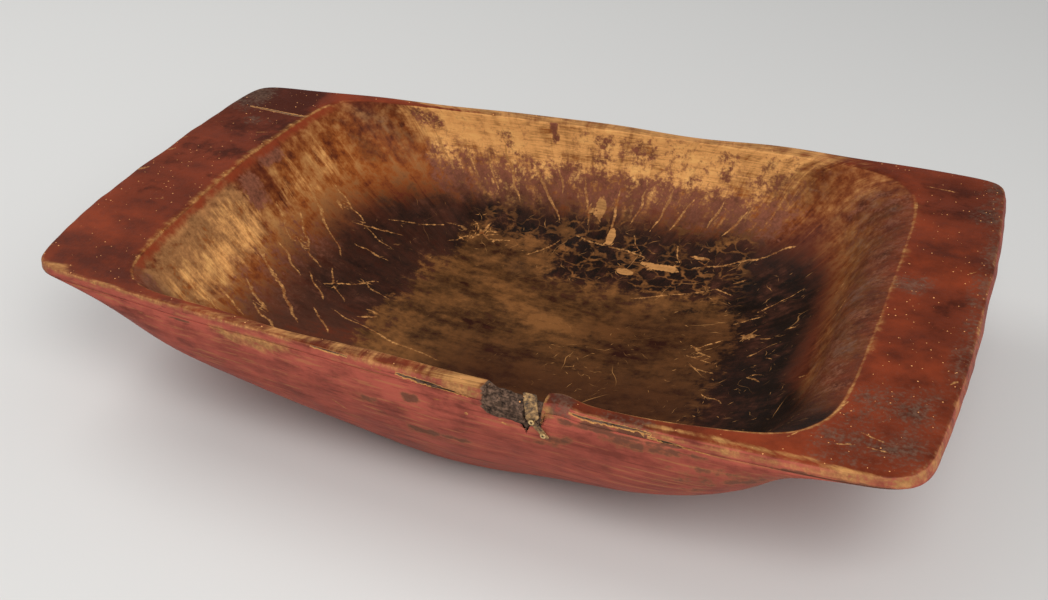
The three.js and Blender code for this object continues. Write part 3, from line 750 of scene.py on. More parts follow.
def wear_marks(at):
    """Strength of each kind of wear on the paint, with the orange fingers that reach down the walls."""
    on_walls = {"bare": BARE_WALLS, "tan": TAN_WALLS, "orange": ORANGE_WALLS, "mottled": MOTTLED_WALLS,
                "olive": OLIVE_WALLS}
    made = {name: wall_areas(at, table) * at.inside for name, table in on_walls.items()}
    bare_rim = areas(at.plan, BARE_TOP) * (at.top | (at.side & (at.out < BARE_EDGE)))
    bare_side = areas(at.near_side, BARE_SIDE) * at.near
    made["bare"] = np.maximum(np.maximum(made["bare"], bare_rim), bare_side)
    by_wall = 0.35 + 0.65 * ease(*FAR_FINGERS_Y, at.edge_y) * (1 - ease(*FAR_FINGERS_X, at.edge_x))
    by_wall -= 0.2 * ease(*RIGHT_FINGERS_X, at.edge_x)
    made["fingers"] = at.inside * ease(*FINGERS_START, at.down) * (1 - ease(*FINGERS_END, at.down)) * by_wall
    return made


def soil_marks(at):
    """Strength of each kind of soil and stain, and of the worn and cracked parts of the floor.

    The soil at the right starts at a line on the wall, which climbs evenly towards the near side. On the
    floor the dark is also painted shade, along the near wall and in its right corner.
    """
    soil_line = SOIL_DROP + SOIL_CLIMB * np.minimum(at.edge_y - SOIL_LEVEL_TO, 0)
    at_right = ease(*END_WALL_FADE, at.edge_x) * ease(-SOIL_SOFTNESS, SOIL_SOFTNESS, at.down - soil_line)
    on_floor = areas(at.plan, FLOOR_DARK) * at.floor * ease(*FLOOR_SOIL_AND_SHADE_FADE, at.down)
    near_edge = at.side & (at.out < GREY_EDGE) & (at.y < 0)
    return {
        "black": np.maximum(at_right * at.inside, on_floor),
        "grey": areas(at.plan, GREY_TOP) * (at.top | near_edge),
        "worn_floor": areas(at.plan, FLOOR_WORN) * at.floor,
        "crackled": areas(at.plan, CRACKLED) * at.floor,
        # Darker brown down the walls, stronger towards the floor
        "film": at.inside * ease(*LOWER_WALL_FADE, at.down) * 0.85,
        "dark_top": areas(at.plan, DARK_TOP) * at.top,
        "rough": areas(at.plan, ROUGH_TOP) * (at.out < ROUGH_EDGE) * (1 - ease(*ROUGH_FADE, at.down)),
        "brown": areas(at.near_side, BROWN_SIDE) * at.near,
        "upper_side": at.near * (1 - ease(*UPPER_SIDE_FADE, at.out)),
    }


def rim_marks(at):
    """Strength of the worn lines: on the hollow's lip, in a band below it, and on the outer edge, whose pale
    line is also a painted highlight.

    Across the line, the lip and the edge are bell curves and the band has soft sides. Along it, each is
    stronger or fainter from place to place.
    """
    on_left, on_far = ease(*LEFT_LIP, -at.edge_x), ease(*FAR_LIP, at.edge_y)
    near_right = ease(*NEAR_RIGHT_LIP_X, at.edge_x) * (1 - ease(*NEAR_RIGHT_LIP_Y, at.edge_y))
    near_edge_wear_and_highlight = at.near * ease(*EDGE_WEAR_AND_HIGHLIGHT_START, at.x) * (1 - ease(*EDGE_WEAR_AND_HIGHLIGHT_END, at.x))
    end_edge_wear_and_highlight = ease(*END_WEAR_AND_HIGHLIGHT_X, at.x) * ease(*END_WEAR_AND_HIGHLIGHT_START, at.y) * (1 - ease(*END_WEAR_AND_HIGHLIGHT_STOP, at.y))
    across_lip = np.exp(-((at.down - LIP_LINE_DROP) / LIP_LINE_WIDTH) ** 2)
    across_band = ease(*BAND_START, at.down) * (1 - ease(*BAND_END, at.down))
    across_edge = np.exp(-(at.out / (EDGE_LINE_WIDTH + EDGE_LINE_GROWTH * near_edge_wear_and_highlight)) ** 2)
    return {
        "lip": across_lip * (0.5 + 0.08 * on_left - 0.45 * on_far + 0.4 * near_right),
        "band": across_band * (0.35 + 0.4 * on_left - 0.3 * on_far),
        "edge": across_edge * (0.3 + 0.45 * near_edge_wear_and_highlight + 0.6 * end_edge_wear_and_highlight),
    }


def stroke_marks(points, at):
    """The nearest pale stroke, bent a little off its straight run, and the nearest crack."""
    along = wobble(points, 30, 31) + wobble(points, 11, 32) * 0.4
    bend = np.stack([along, wobble(points, 30, 33)], -1) * BEND
    from_edge_x, from_edge_y = (np.stack([edge, at.down], -1) + bend for edge in (at.edge_x, at.edge_y))
    left, right = at.inside & (at.edge_x < -END_STROKES_FROM), at.inside & (at.edge_x > END_STROKES_FROM)
    pale = nearest(
        strokes(from_edge_y, LEFT_DRIPS, left, 0.95),
        strokes(from_edge_x, FAR_STREAKS, at.inside & (at.edge_y > FAR_STROKES_FROM), 0.9),
        strokes(from_edge_y, RIGHT_STREAKS, right),
        strokes(at.plan + bend, FLOOR_STROKES, at.inside & (at.z < FLOOR_STROKES_BELOW)),
        strokes(at.near_side + bend, SIDE_CHIPS, at.near), strokes(at.plan, LUG_CHIPS, at.top))
    cracks = nearest(strokes(at.near_side, SIDE_CRACKS, at.near), strokes(at.plan, LUG_CHECK, at.top))
    return {"pale_strokes": pale, "cracks": cracks}


def marks_of(points, fields):
    """Every attribute that the material reads: marks in threes, the strokes and the way down the walls."""
    at = whereabouts(points, fields)
    marks = {"side": at.side.astype(float), "top": at.top.astype(float), "inside": at.inside.astype(float),
             **wear_marks(at), **soil_marks(at), **rim_marks(at)}
    grouped = {group: np.stack([marks[name] for name in names], -1) for group, names in MARK_GROUPS.items()}
    return {**grouped, **stroke_marks(points, at),
            "floor_shade": areas(at.plan, FLOOR_SHADED) * at.floor,
            "fall": np.stack([at.edge_x, at.edge_y, at.down], -1)}


def hand_work(points, fields, marks, sizes):
    """Depth of the carver's unevenness along the surface's normal, in millimetres.

    Broad waves, shorter ones drawn out along the grain and scoops in the hollow, which fade out on the base
    and beside the strip, less the cracks' grooves.
    """
    x, y, z = points.T
    broad = wobble(points, *BROAD_WAVES) * sizes.unevenness / MM
    grain = wobble(points, *GRAIN_WAVES) * sizes.grain_relief / MM
    tool = wobble(points, *SCOOPS) * sizes.tool_marks / MM * ease(*SCOOPS_START, fields["down"])
    beside_strip = ease(0, STRIP_ROOM_FADE, np.abs(x - STRIP_OUTSIDE_X - STRIP_ROOM_SHIFT) - STRIP_ROOM)
    away = np.maximum(ease(*BELOW_STRIP, HEIGHT - z), ease(*BEHIND_STRIP, y))
    uneven = (broad + grain + tool) * ease(*ABOVE_BASE, z) * np.maximum(beside_strip, away)
    return uneven - groove(marks["cracks"], CRACK_DEPTH)


def add_field(made, name, values):
    """Stores values on the mesh's points, as numbers or as vectors."""
    kind, part = ("FLOAT", "value") if values.ndim == 1 else ("FLOAT_VECTOR", "vector")
    stored = made.data.attributes.new(name, kind, "POINT").data
    stored.foreach_set(part, values.astype(np.float32).ravel())


class TROUGH_OT_body(bpy.types.Operator):
    """Carves the trough from its outlines, and paints and wears it"""
    bl_idname = "trough.body"
    bl_label = "Carve trough"

    def execute(self, context):
        sizes = context.scene.trough_carving
        points, quads, fan, fields = carve_surface()
        marks = marks_of(points, fields)
        points = break_rim(points, fields["cross"])
        points = points + smooth_normals(points, quads) * hand_work(points, fields, marks, sizes)[:, None]
        made = make_mesh("trough", points, fan.tolist() + quads.tolist())
        for name, values in marks.items():
            add_field(made, name, values)
        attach(made, "root")
        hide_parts("trough_body")
        made.data.materials.append(painted_wood(context.scene.trough_finish))
        return {"FINISHED"}


def add(tree, kind, inputs=None, stops=(), **settings):
    """Adds a node with its settings, its inputs (values or other nodes' outputs) and its ramp's stops."""
    made = tree.nodes.new("ShaderNode" + kind)
    for key, value in settings.items():
        setattr(made, key, value)
    for number, (position, colour) in enumerate(stops):
        elements = made.color_ramp.elements
        element = elements[number] if number < 2 else elements.new(position)
        element.position, element.color = position, colour
    for socket, value in (inputs or {}).items():
        if isinstance(value, bpy.types.NodeSocket):
            tree.links.new(value, made.inputs[socket])
        else:
            made.inputs[socket].default_value = value
    return made


def new_material(name):
    """Empty node material."""
    made = bpy.data.materials.new(name)
    made.use_nodes = True
    made.node_tree.nodes.clear()
    return made


def shade(colour, strength=1.0):
    """The colour, darker below a strength of 1 and lighter above it."""
    return (*[min(channel * strength, 1) for channel in colour[:3]], 1.0)


def object_place(tree):
    """Place on the object, in millimetres."""
    place = add(tree, "TexCoord").outputs["Object"]
    return add(tree, "VectorMath", {0: place, "Scale": 1 / MM}, operation="SCALE").outputs[0]


def mottle(tree, place, size, detail, roughness):
    """Blotches of a size in millimetres along each axis, from 0 to 1 over the noise's usual spread."""
    scaled = add(tree, "Mapping", {"Vector": place, "Scale": [1 / length for length in size]}).outputs[0]
    noise = add(tree, "TexNoise", {"Vector": scaled, "Scale": 1.0, "Detail": detail, "Roughness": roughness})
    usual = {"Value": noise.outputs[0], "From Min": 0.32, "From Max": 0.68}
    return add(tree, "MapRange", usual).outputs["Result"]


def middle_of(tree, first, second):
    """Mean of two patterns."""
    total = add(tree, "Math", {0: first, 1: second}, operation="ADD").outputs[0]
    return add(tree, "Math", {0: total, 1: 0.5}, operation="MULTIPLY").outputs[0]


def broken(tree, mask, pattern, reach=1.0, soft=0.12, grow=0.0, most=1.0):
    """A mask whose edge a pattern breaks: mask + reach (pattern - 0.5), cut softly at a half less grow.

    It is empty where the mask is, and reaches most where the mask is full.
    """
    shifted = add(tree, "Math", {0: pattern, 1: reach, 2: mask}, operation="MULTIPLY_ADD").outputs[0]
    middle = 0.5 + reach / 2 - grow
    cut = add(tree, "MapRange", {"Value": shifted, "From Min": middle - soft, "From Max": middle + soft},
              interpolation_type="SMOOTHSTEP").outputs["Result"]
    marked = add(tree, "MapRange", {"Value": mask, "From Max": 0.2, "To Max": most}).outputs["Result"]
    return add(tree, "Math", {0: cut, 1: marked}, operation="MULTIPLY").outputs[0]


# Patterns: what they lie on, the size of a blotch in millimetres along each axis, detail and roughness. Those
# on the fall run down the walls, and those on the slant run down them askew
PATTERNS = {
    "grain": ("place", (60, 1.5, 1.5), 4.0, 0.65),
    "long_lines": ("place", (130, 3.2, 3.2), 3.0, 0.6),
    "streaks": ("place", (42, 8, 8), 6.0, 0.65),
    "clouds": ("place", (90, 60, 60), 3.0, 0.5),
    "blots": ("place", (30, 30, 30), 7.0, 0.66),
    "stretches": ("place", (75, 34, 34), 6.0, 0.62),
    "spots": ("place", (10, 10, 10), 5.0, 0.65),
    "fine": ("place", (3.5, 3.5, 3.5), 4.0, 0.65),
    "cells": ("fall", (13, 13, 15), 3.0, 0.55),
    "runs": ("fall", (9, 9, 90), 7.0, 0.72),
    "soft_runs": ("fall", (22, 22, 60), 5.0, 0.6),
    "wipes": ("slant", (12, 110, 12), 3.0, 0.6),
}
SLANT = -0.4
# Means of two of the patterns, or of the means before them
MEANS = {
    "cloudy_blots": ("blots", "clouds"),
    "spotted_blots": ("blots", "spots"),
    "fine_blots": ("blots", "fine"),
    "fine_cells": ("cells", "fine"),
    "fine_wipes": ("wipes", "fine"),
    "spotted_wipes": ("wipes", "spots"),
    "spotted_runs": ("runs", "spots"),
    "spotted_soft_runs": ("soft_runs", "spots"),
    "spotted_stretches": ("stretches", "spots"),
    "rough_grain": ("streaks", "spots"),
    "spotted_grain": ("grain", "spots"),
    "streaky_grain": ("grain", "streaks"),
    "blotted_runs": ("blots", "soft_runs"),
    "speckled": ("spots", "fine"),
    "tone": ("streaks", "blots"),
    "spotted_tone": ("tone", "spots"),
    "speckled_tone": ("tone", "speckled"),
    "speckled_wipes": ("wipes", "speckled"),
    "streaky_runs": ("runs", "tone"),
    "stretched_runs": ("stretches", "spotted_runs"),
    "worn_tone": ("spotted_soft_runs", "stretched_runs"),
    "tan_tone": ("spotted_blots", "fine_wipes"),
    "wood_tone": ("streaky_grain", "blotted_runs"),
    "soil_tone": ("blots", "spotted_runs"),
    "floor_tone": ("stretches", "spotted_tone"),
    "raw_tone": ("fine", "spotted_grain"),
}
# Colours that change within a layer: the pattern that they follow, and the places on it of the colours and
# their strengths
RAMPS = {
    "paint": ("cloudy_blots", (0.2, "paint", 0.55), (0.5, "paint", 1.0), (0.8, "paint", 1.45)),
    "side_paint": ("tone", (0.15, "side_paint", 0.6), (0.5, "side_paint", 1.0), (0.85, "side_paint", 1.35)),
    "inside_paint": ("worn_tone", (0.2, "hollow_paint", 0.5), (0.5, "hollow_paint", 1.0),
                     (0.8, "hollow_paint", 1.6)),
    "orange": ("worn_tone", (0.2, "hollow_paint", 1.0), (0.45, "orange_wear", 0.82),
               (0.82, "bare_wood", 0.66)),
    "tan": ("tan_tone", (0.25, "orange_wear", 0.9), (0.42, "tan_wear", 0.62), (0.58, "tan_wear", 0.85),
            (0.8, "tan_wear", 1.2)),
    "wall_wood": ("wood_tone", (0.2, "orange_wear", 0.9), (0.36, "bare_wood", 0.72), (0.5, "bare_wood", 1.08),
                  (0.75, "bare_wood", 1.4)),
    "rim_wood": ("wood_tone", (0.22, "orange_wear", 0.6), (0.42, "bare_wood", 0.42),
                 (0.58, "bare_wood", 0.66), (0.8, "tan_wear", 1.3)),
    "side_wood": ("speckled_tone", (0.25, "side_paint", 1.1), (0.45, "tan_wear", 0.7),
                  (0.7, "tan_wear", 1.2)),
    "purple_cells": ("speckled", (0.2, "grained_wood", 0.7), (0.8, "grained_wood", 1.5)),
    # Dark soil, darkened further to stand as painted shade in the floor's near right corner
    "dark": ("soil_tone", (0.2, "soil", 0.4), (0.45, "soil", 0.8), (0.65, "grained_wood", 0.16),
             (0.85, "grained_wood", 0.42)),
    # Darker brown down the walls, stronger towards the floor
    "brown_film": ("stretched_runs", (0.2, "grained_wood", 0.16), (0.5, "grained_wood", 0.36),
                   (0.8, "hollow_paint", 1.0)),
    "floor_wood": ("floor_tone", (0.25, "hollow_paint", 0.2), (0.42, "worn_floor", 0.6),
                   (0.58, "worn_floor", 1.2), (0.75, "worn_floor", 1.9)),
    "gap_wood": ("spotted_stretches", (0.3, "worn_floor", 0.9), (0.55, "worn_floor", 1.4),
                 (0.75, "worn_floor", 2.2)),
    "grey": ("speckled", (0.25, "weathered", 0.35), (0.75, "weathered", 1.0)),
    "olive": ("tone", (0.3, "grained_wood", 0.4), (0.55, "worn_floor", 1.3), (0.75, "weathered", 1.0)),
    "brown": ("rough_grain", (0.25, "side_soil", 0.6), (0.75, "side_soil", 1.3)),
    "raw": ("raw_tone", (0.25, "weathered", 0.12), (0.5, "weathered", 0.5), (0.75, "weathered", 1.3)),
    "ochre": ("speckled", (0.2, "orange_wear", 0.8), (0.55, "bare_wood", 0.5), (0.8, "bare_wood", 0.85)),
    # Pale line on the outer edge: wear, and a painted highlight
    "worn_line": ("speckled", (0.25, "side_paint", 1.0), (0.55, "tan_wear", 0.72), (0.8, "tan_wear", 1.25)),
    "flaked_wood": ("wood_tone", (0.3, "bare_wood", 0.38), (0.6, "bare_wood", 0.72)),
}
# Scratches, from short to long: size of the cells that may each hold one, length and width, share of the
# cells that do, how far they lie flat, and a shift that sets their places apart
SCRATCHES = ((8, 7, 0.9, 0.45, 0.4, 3), (16, 16, 1.1, 0.45, 0.4, 1), (42, 46, 1.2, 0.55, 0.3, 2))


def patterns_of(tree):
    """Every pattern and mean by name, with the place on the object."""
    fall = add(tree, "Attribute", attribute_name="fall").outputs["Vector"]
    slant = add(tree, "Mapping", {"Vector": fall, "Rotation": (SLANT, 0, 0)}).outputs[0]
    made = {"place": object_place(tree), "fall": fall, "slant": slant}
    for name, (ground, size, detail, roughness) in PATTERNS.items():
        made[name] = mottle(tree, made[ground], size, detail, roughness)
    for name, (first, second) in MEANS.items():
        made[name] = middle_of(tree, made[first], made[second])
    return SimpleNamespace(**made)


def masks_of(tree):
    """Every mark that the mesh keeps, by name."""
    made = {"floor_shade": add(tree, "Attribute", attribute_name="floor_shade").outputs["Fac"]}
    for group, names in MARK_GROUPS.items():
        kept = add(tree, "Attribute", attribute_name=group).outputs["Vector"]
        made.update(zip(names, add(tree, "SeparateXYZ", {0: kept}).outputs))
    return SimpleNamespace(**made)


def ramps_of(tree, finish, pattern):
    """Every changing colour by name."""
    made = {}
    for name, (followed, *stops) in RAMPS.items():
        colours = [(place, shade(getattr(finish, colour), strength)) for place, colour, strength in stops]
        made[name] = add(tree, "ValToRGB", {"Fac": getattr(pattern, followed)}, colours).outputs[0]
    return SimpleNamespace(**made)


def strand_lines(tree, place, cell, length, width, share, flatness, shift):
    """Scattered short scratches: in each cell, a tapering streak along a random plane through its middle."""
    apart = (shift * 37.3, shift * 11.7, shift * 23.1)
    moved = add(tree, "VectorMath", {0: place, 1: apart}, operation="ADD").outputs[0]
    bend = add(tree, "TexNoise", {"Vector": moved, "Scale": 1 / (cell * 0.7), "Detail": 1.0}).outputs["Color"]
    reach = (cell * 0.4,) * 3
    bent = add(tree, "VectorMath", {0: bend, 1: reach, 2: moved}, operation="MULTIPLY_ADD").outputs[0]
    cells = add(tree, "TexVoronoi", {"Vector": bent, "Scale": 1 / cell, "Randomness": 1.0}).outputs
    chance = add(tree, "SeparateColor", {"Color": cells["Color"]}).outputs["Blue"]
    offset = add(tree, "VectorMath", {0: bent, 1: cells["Position"]}, operation="SUBTRACT").outputs[0]
    middle = (0.5, 0.5, 0.5)
    centred = add(tree, "VectorMath", {0: cells["Color"], 1: middle}, operation="SUBTRACT").outputs[0]
    flat = add(tree, "VectorMath", {0: centred, 1: (1, 1, flatness)}, operation="MULTIPLY").outputs[0]
    way = add(tree, "VectorMath", {0: flat}, operation="NORMALIZE").outputs[0]
    gap = add(tree, "VectorMath", {0: offset, 1: way}, operation="DOT_PRODUCT").outputs["Value"]
    off_line = add(tree, "Math", {0: gap}, operation="ABSOLUTE").outputs[0]
    away = add(tree, "VectorMath", {0: offset}, operation="LENGTH").outputs["Value"]
    taper = width / length
    tapered = add(tree, "Math", {0: away, 1: taper, 2: off_line}, operation="MULTIPLY_ADD").outputs[0]
    streak = add(tree, "MapRange", {"Value": tapered, "From Min": width * 0.5, "From Max": width * 0.15})
    picked = add(tree, "MapRange", {"Value": chance, "From Min": share, "From Max": share * 0.4})
    streaks = {0: streak.outputs["Result"], 1: picked.outputs["Result"]}
    return add(tree, "Math", streaks, operation="MULTIPLY").outputs[0]


def scratched(tree, pattern, mask):
    """Scratches of three lengths, in patches of the dark soil and its painted shade, and fewer on the worn
    floor.
    """
    on_floor = add(tree, "Math", {0: mask.worn_floor, 1: 0.35}, operation="MULTIPLY").outputs[0]
    where = add(tree, "Math", {0: mask.black, 1: on_floor}, operation="MAXIMUM").outputs[0]
    patches = broken(tree, where, pattern.blots, 1.0, 0.3)
    patchy = add(tree, "Math", {0: where, 1: patches}, operation="MULTIPLY").outputs[0]
    short, middling, long = (strand_lines(tree, pattern.place, *kind) for kind in SCRATCHES)
    some = add(tree, "Math", {0: short, 1: middling}, operation="MAXIMUM").outputs[0]
    every = add(tree, "Math", {0: some, 1: long}, operation="MAXIMUM").outputs[0]
    return add(tree, "Math", {0: every, 1: patchy}, operation="MULTIPLY").outputs[0]


def skin_gaps(tree, pattern, crackled):
    """Wavering gaps between the islands of old dough's cracked skin, each about 22 by 15 mm."""
    noise = add(tree, "TexNoise", {"Vector": pattern.place, "Scale": 1 / 16, "Detail": 3.0}).outputs["Color"]
    warp = {0: noise, 1: (26, 18, 18), 2: pattern.place}
    warped = add(tree, "VectorMath", warp, operation="MULTIPLY_ADD").outputs[0]
    islands = add(tree, "Mapping", {"Vector": warped, "Scale": (1 / 22, 1 / 15, 1 / 15)}).outputs[0]
    net = add(tree, "TexVoronoi", {"Vector": islands, "Scale": 1.0}, feature="DISTANCE_TO_EDGE")
    from_gap = net.outputs["Distance"]
    waver = add(tree, "Math", {0: pattern.tone, 1: 0.34, 2: from_gap}, operation="MULTIPLY_ADD").outputs[0]
    gaps = add(tree, "MapRange", {"Value": waver, "From Min": 0.24, "From Max": 0.15}).outputs["Result"]
    return add(tree, "Math", {0: gaps, 1: crackled}, operation="MULTIPLY").outputs[0]


def specks_on(tree, pattern, top):
    """Small round specks where the paint has flaked, at most one to 5 mm, and few in patches."""
    flakes = add(tree, "TexVoronoi", {"Vector": pattern.place, "Scale": 1 / 5}).outputs
    chance = add(tree, "SeparateColor", {"Color": flakes["Color"]}).outputs
    size = add(tree, "Math", {0: chance["Green"], 1: 0.14}, operation="MULTIPLY").outputs[0]
    flake = add(tree, "Math", {0: flakes["Distance"], 1: size}, operation="LESS_THAN").outputs[0]
    patches = broken(tree, top, pattern.blots, 1.0, 0.5)
    few = add(tree, "Math", {0: chance["Red"], 1: patches}, operation="LESS_THAN").outputs[0]
    return add(tree, "Math", {0: flake, 1: few}, operation="MULTIPLY").outputs[0]


def strokes_of(tree, name):
    """Strokes of an attribute: signed distance to the line, distance to the run, and half of the width."""
    kept = add(tree, "Attribute", attribute_name=name).outputs["Vector"]
    return add(tree, "SeparateXYZ", {"Vector": kept}).outputs


def stroke_mark(tree, stroke, pattern, ragged, grow=0.0):
    """Factor of the strokes: inside their width plus grow, with ragged sides, and none past their ends."""
    off_line = add(tree, "Math", {0: stroke["X"]}, operation="ABSOLUTE").outputs[0]
    margin = add(tree, "Math", {0: stroke["Z"], 1: off_line}, operation="SUBTRACT").outputs[0]
    rough = add(tree, "Math", {0: pattern, 1: ragged, 2: margin}, operation="MULTIPLY_ADD").outputs[0]
    middle = ragged / 2 - grow
    within = add(tree, "MapRange", {"Value": rough, "From Min": middle - 0.35, "From Max": middle + 0.35})
    room = add(tree, "Math", {0: stroke["Y"], 1: stroke["Z"]}, operation="SUBTRACT").outputs[0]
    guard = add(tree, "MapRange", {"Value": room, "From Min": 3.5, "From Max": 2.0}).outputs["Result"]
    real = add(tree, "Math", {0: stroke["Z"], 1: 0.15}, operation="GREATER_THAN").outputs[0]
    guarded = add(tree, "Math", {0: within.outputs["Result"], 1: guard}, operation="MULTIPLY").outputs[0]
    return add(tree, "Math", {0: guarded, 1: real}, operation="MULTIPLY").outputs[0]


def pale_marks(tree, pattern):
    """Factors of the pale strokes, uneven as rubbed wood is, and of those broad enough to be flakes."""
    stroke = strokes_of(tree, "pale_strokes")
    mark = stroke_mark(tree, stroke, pattern.fine, 1.4)
    rubbed = add(tree, "MapRange", {"Value": pattern.speckled, "To Min": 0.35}).outputs["Result"]
    broad = add(tree, "MapRange", {"Value": stroke["Z"], "From Min": 1.8, "From Max": 3.0}).outputs["Result"]
    return [add(tree, "Math", {0: mark, 1: share}, operation="MULTIPLY").outputs[0]
            for share in (rubbed, broad)]


def side_grain(tree, pattern, side):
    """Factors of the pale and of the dark lines along the outside's grain."""
    made = []
    for none, full, most in ((0.68, 0.98, 0.4), (0.22, 0.02, 0.6)):
        spread_out = {"Value": pattern.long_lines, "From Min": none, "From Max": full, "To Max": most}
        lines = add(tree, "MapRange", spread_out).outputs["Result"]
        made.append(add(tree, "Math", {0: lines, 1: side}, operation="MULTIPLY").outputs[0])
    return made


def wear_layers(tree, finish, pattern, mask, colour):
    """Colour and factor of each layer over the paint, from the ground up."""
    woods = {0: mask.side, 6: colour.rim_wood, 7: colour.side_wood}
    outer_wood = add(tree, "Mix", woods, data_type="RGBA").outputs[2]
    wood = add(tree, "Mix", {0: mask.inside, 6: outer_wood, 7: colour.wall_wood}, data_type="RGBA").outputs[2]
    pale_lines, dark_lines = side_grain(tree, pattern, mask.side)
    half_pink = add(tree, "Math", {0: mask.upper_side, 1: 0.55}, operation="MULTIPLY").outputs[0]
    wiped = broken(tree, mask.tan, pattern.spotted_wipes, 1.3, 0.4)
    soft_wipes = add(tree, "Math", {0: wiped, 1: 0.8}, operation="MULTIPLY").outputs[0]
    pale, flakes = pale_marks(tree, pattern)
    cracks = strokes_of(tree, "cracks")
    shaded_floor = broken(tree, mask.floor_shade, pattern.floor_tone, 1.0, 0.7, most=0.75)
    rubbed_side = broken(tree, mask.brown, pattern.rough_grain, 1.3, 0.2, 0.12, most=0.32)
    return [
        (shade(finish.paint, 0.38), broken(tree, mask.dark_top, pattern.blots, 0.8, 0.35)),
        (colour.side_paint, mask.side),
        (shade(finish.side_paint, 1.5), broken(tree, half_pink, pattern.tone, 1.0, 0.4)),
        (shade(finish.side_paint, 0.45), dark_lines),
        (shade(finish.tan_wear, 0.95), pale_lines),
        (colour.inside_paint, mask.inside),
        (colour.orange, broken(tree, mask.orange, pattern.worn_tone, 1.0, 0.55)),
        (colour.tan, soft_wipes),
        (colour.orange, broken(tree, mask.fingers, pattern.runs, 1.0, 0.3)),
        (wood, broken(tree, mask.bare, pattern.streaky_runs, 1.3, 0.4)),
        (colour.purple_cells, broken(tree, mask.mottled, pattern.fine_cells, 1.4, 0.35)),
        (shade(finish.paint, 1.5), broken(tree, mask.band, pattern.tone, 1.0, 0.5)),
        (colour.olive, broken(tree, mask.olive, pattern.speckled_wipes, 1.2, 0.7, most=0.75)),
        # Darker brown down the walls, stronger towards the floor
        (colour.brown_film, broken(tree, mask.film, pattern.worn_tone, 1.2, 0.5)),
        # Dark soil, and painted shade along the near wall and in the near right corner of the floor
        (colour.dark, broken(tree, mask.black, pattern.worn_tone, 1.0, 0.5)),
        (colour.floor_wood, broken(tree, mask.worn_floor, pattern.spotted_tone, 1.5, 0.26)),
        # Painted shade on the floor beside the near wall
        (shade(finish.hollow_paint, 0.24), shaded_floor),
        (colour.gap_wood, skin_gaps(tree, pattern, mask.crackled)),
        (colour.grey, broken(tree, mask.grey, pattern.fine_blots, 1.5, 0.4, most=0.7)),
        (colour.ochre, broken(tree, mask.lip, pattern.tone, 1.0, 0.45)),
        # Pale line on the outer edge: wear, and a painted highlight where the edge catches the light
        (colour.worn_line, broken(tree, mask.edge, pattern.tone, 1.0, 0.5)),
        (shade(finish.tan_wear, 0.8), rubbed_side),
        (colour.brown, broken(tree, mask.brown, pattern.rough_grain, 1.3, 0.25, most=0.75)),
        (colour.raw, broken(tree, mask.rough, pattern.fine, 0.6, 0.15)),
        (shade(finish.bare_wood, 0.6), scratched(tree, pattern, mask)),
        (colour.ochre, pale),
        (colour.flaked_wood, broken(tree, flakes, pattern.tone, 0.8, 0.4, most=0.9)),
        (shade(finish.bare_wood, 0.8), stroke_mark(tree, cracks, pattern.fine, 1.6, 0.8)),
        (colour.raw, stroke_mark(tree, cracks, pattern.fine, 1.2)),
        (shade(finish.tan_wear, 1.7), specks_on(tree, pattern, mask.top)),
    ]


def painted_wood(finish):
    """Oxide red milk paint on hewn hardwood, thin and satin, worn through to ochre wood by hands and dough.

    It gives the eye a dull deep red with a soft shine, lighter lines along the grain, and golden bare wood.
    """
    material = new_material("worn_oxide_milk_paint_on_hewn_wood")
    tree = material.node_tree
    pattern = patterns_of(tree)
    colours = ramps_of(tree, finish, pattern)
    colour = colours.paint
    for over, where in wear_layers(tree, finish, pattern, masks_of(tree), colours):
        colour = add(tree, "Mix", {0: where, 6: colour, 7: over}, data_type="RGBA").outputs[2]
    relief = add(tree, "Math", {0: pattern.grain, 1: 0.3, 2: pattern.fine}, operation="MULTIPLY_ADD")
    bump = add(tree, "Bump", {"Height": relief.outputs[0], "Strength": 0.3, "Distance": 0.5 * MM})
    satin = add(tree, "MapRange", {"Value": pattern.blots, "To Min": 0.45, "To Max": 0.62}).outputs["Result"]
    shader = add(tree, "BsdfPrincipled", {
        "Base Color": colour, "Roughness": satin, "Normal": bump.outputs["Normal"], "IOR": 1.48,
        "Specular IOR Level": 0.08})
    add(tree, "OutputMaterial", {"Surface": shader.outputs["BSDF"]})
    return material


def near_face(x, drop, outer):
    """Y of the near wall's outer or inner face at x, at a drop below the rim."""
    if outer:
        return -half_width(x, True) * hull_share(HEIGHT - drop)
    wall = blend(WALL_AT_LEFT, WALL_AT_RIGHT, x / LENGTH + 0.5)
    return -(half_width(x, True) - wall) * hollow_share(drop / DEPTH, HOLLOW_SIDE_ROUNDNESS)


def on_near_wall(x, drop, outer):
    """Point on the near wall's outer or inner face, with the face's normal from its slopes."""
    way = -1 if outer else 1
    along = near_face(x + 0.5, drop, outer) - near_face(x - 0.5, drop, outer)
    down = near_face(x, drop + 0.5, outer) - near_face(x, drop - 0.5, outer)
    normal = np.array([-along, 1, down]) * way
    return np.array([x, near_face(x, drop, outer), HEIGHT - drop]), normal / np.linalg.norm(normal)


def under_tail(run):
    """Point under the tail, at a run down it from the upper tack, with the normal there."""
    along, drop = run * math.sin(TAIL_LEAN), run * math.cos(TAIL_LEAN)
    return on_near_wall(STRIP_OUTSIDE_X + along, UPPER_TACK_DROP + drop, True)


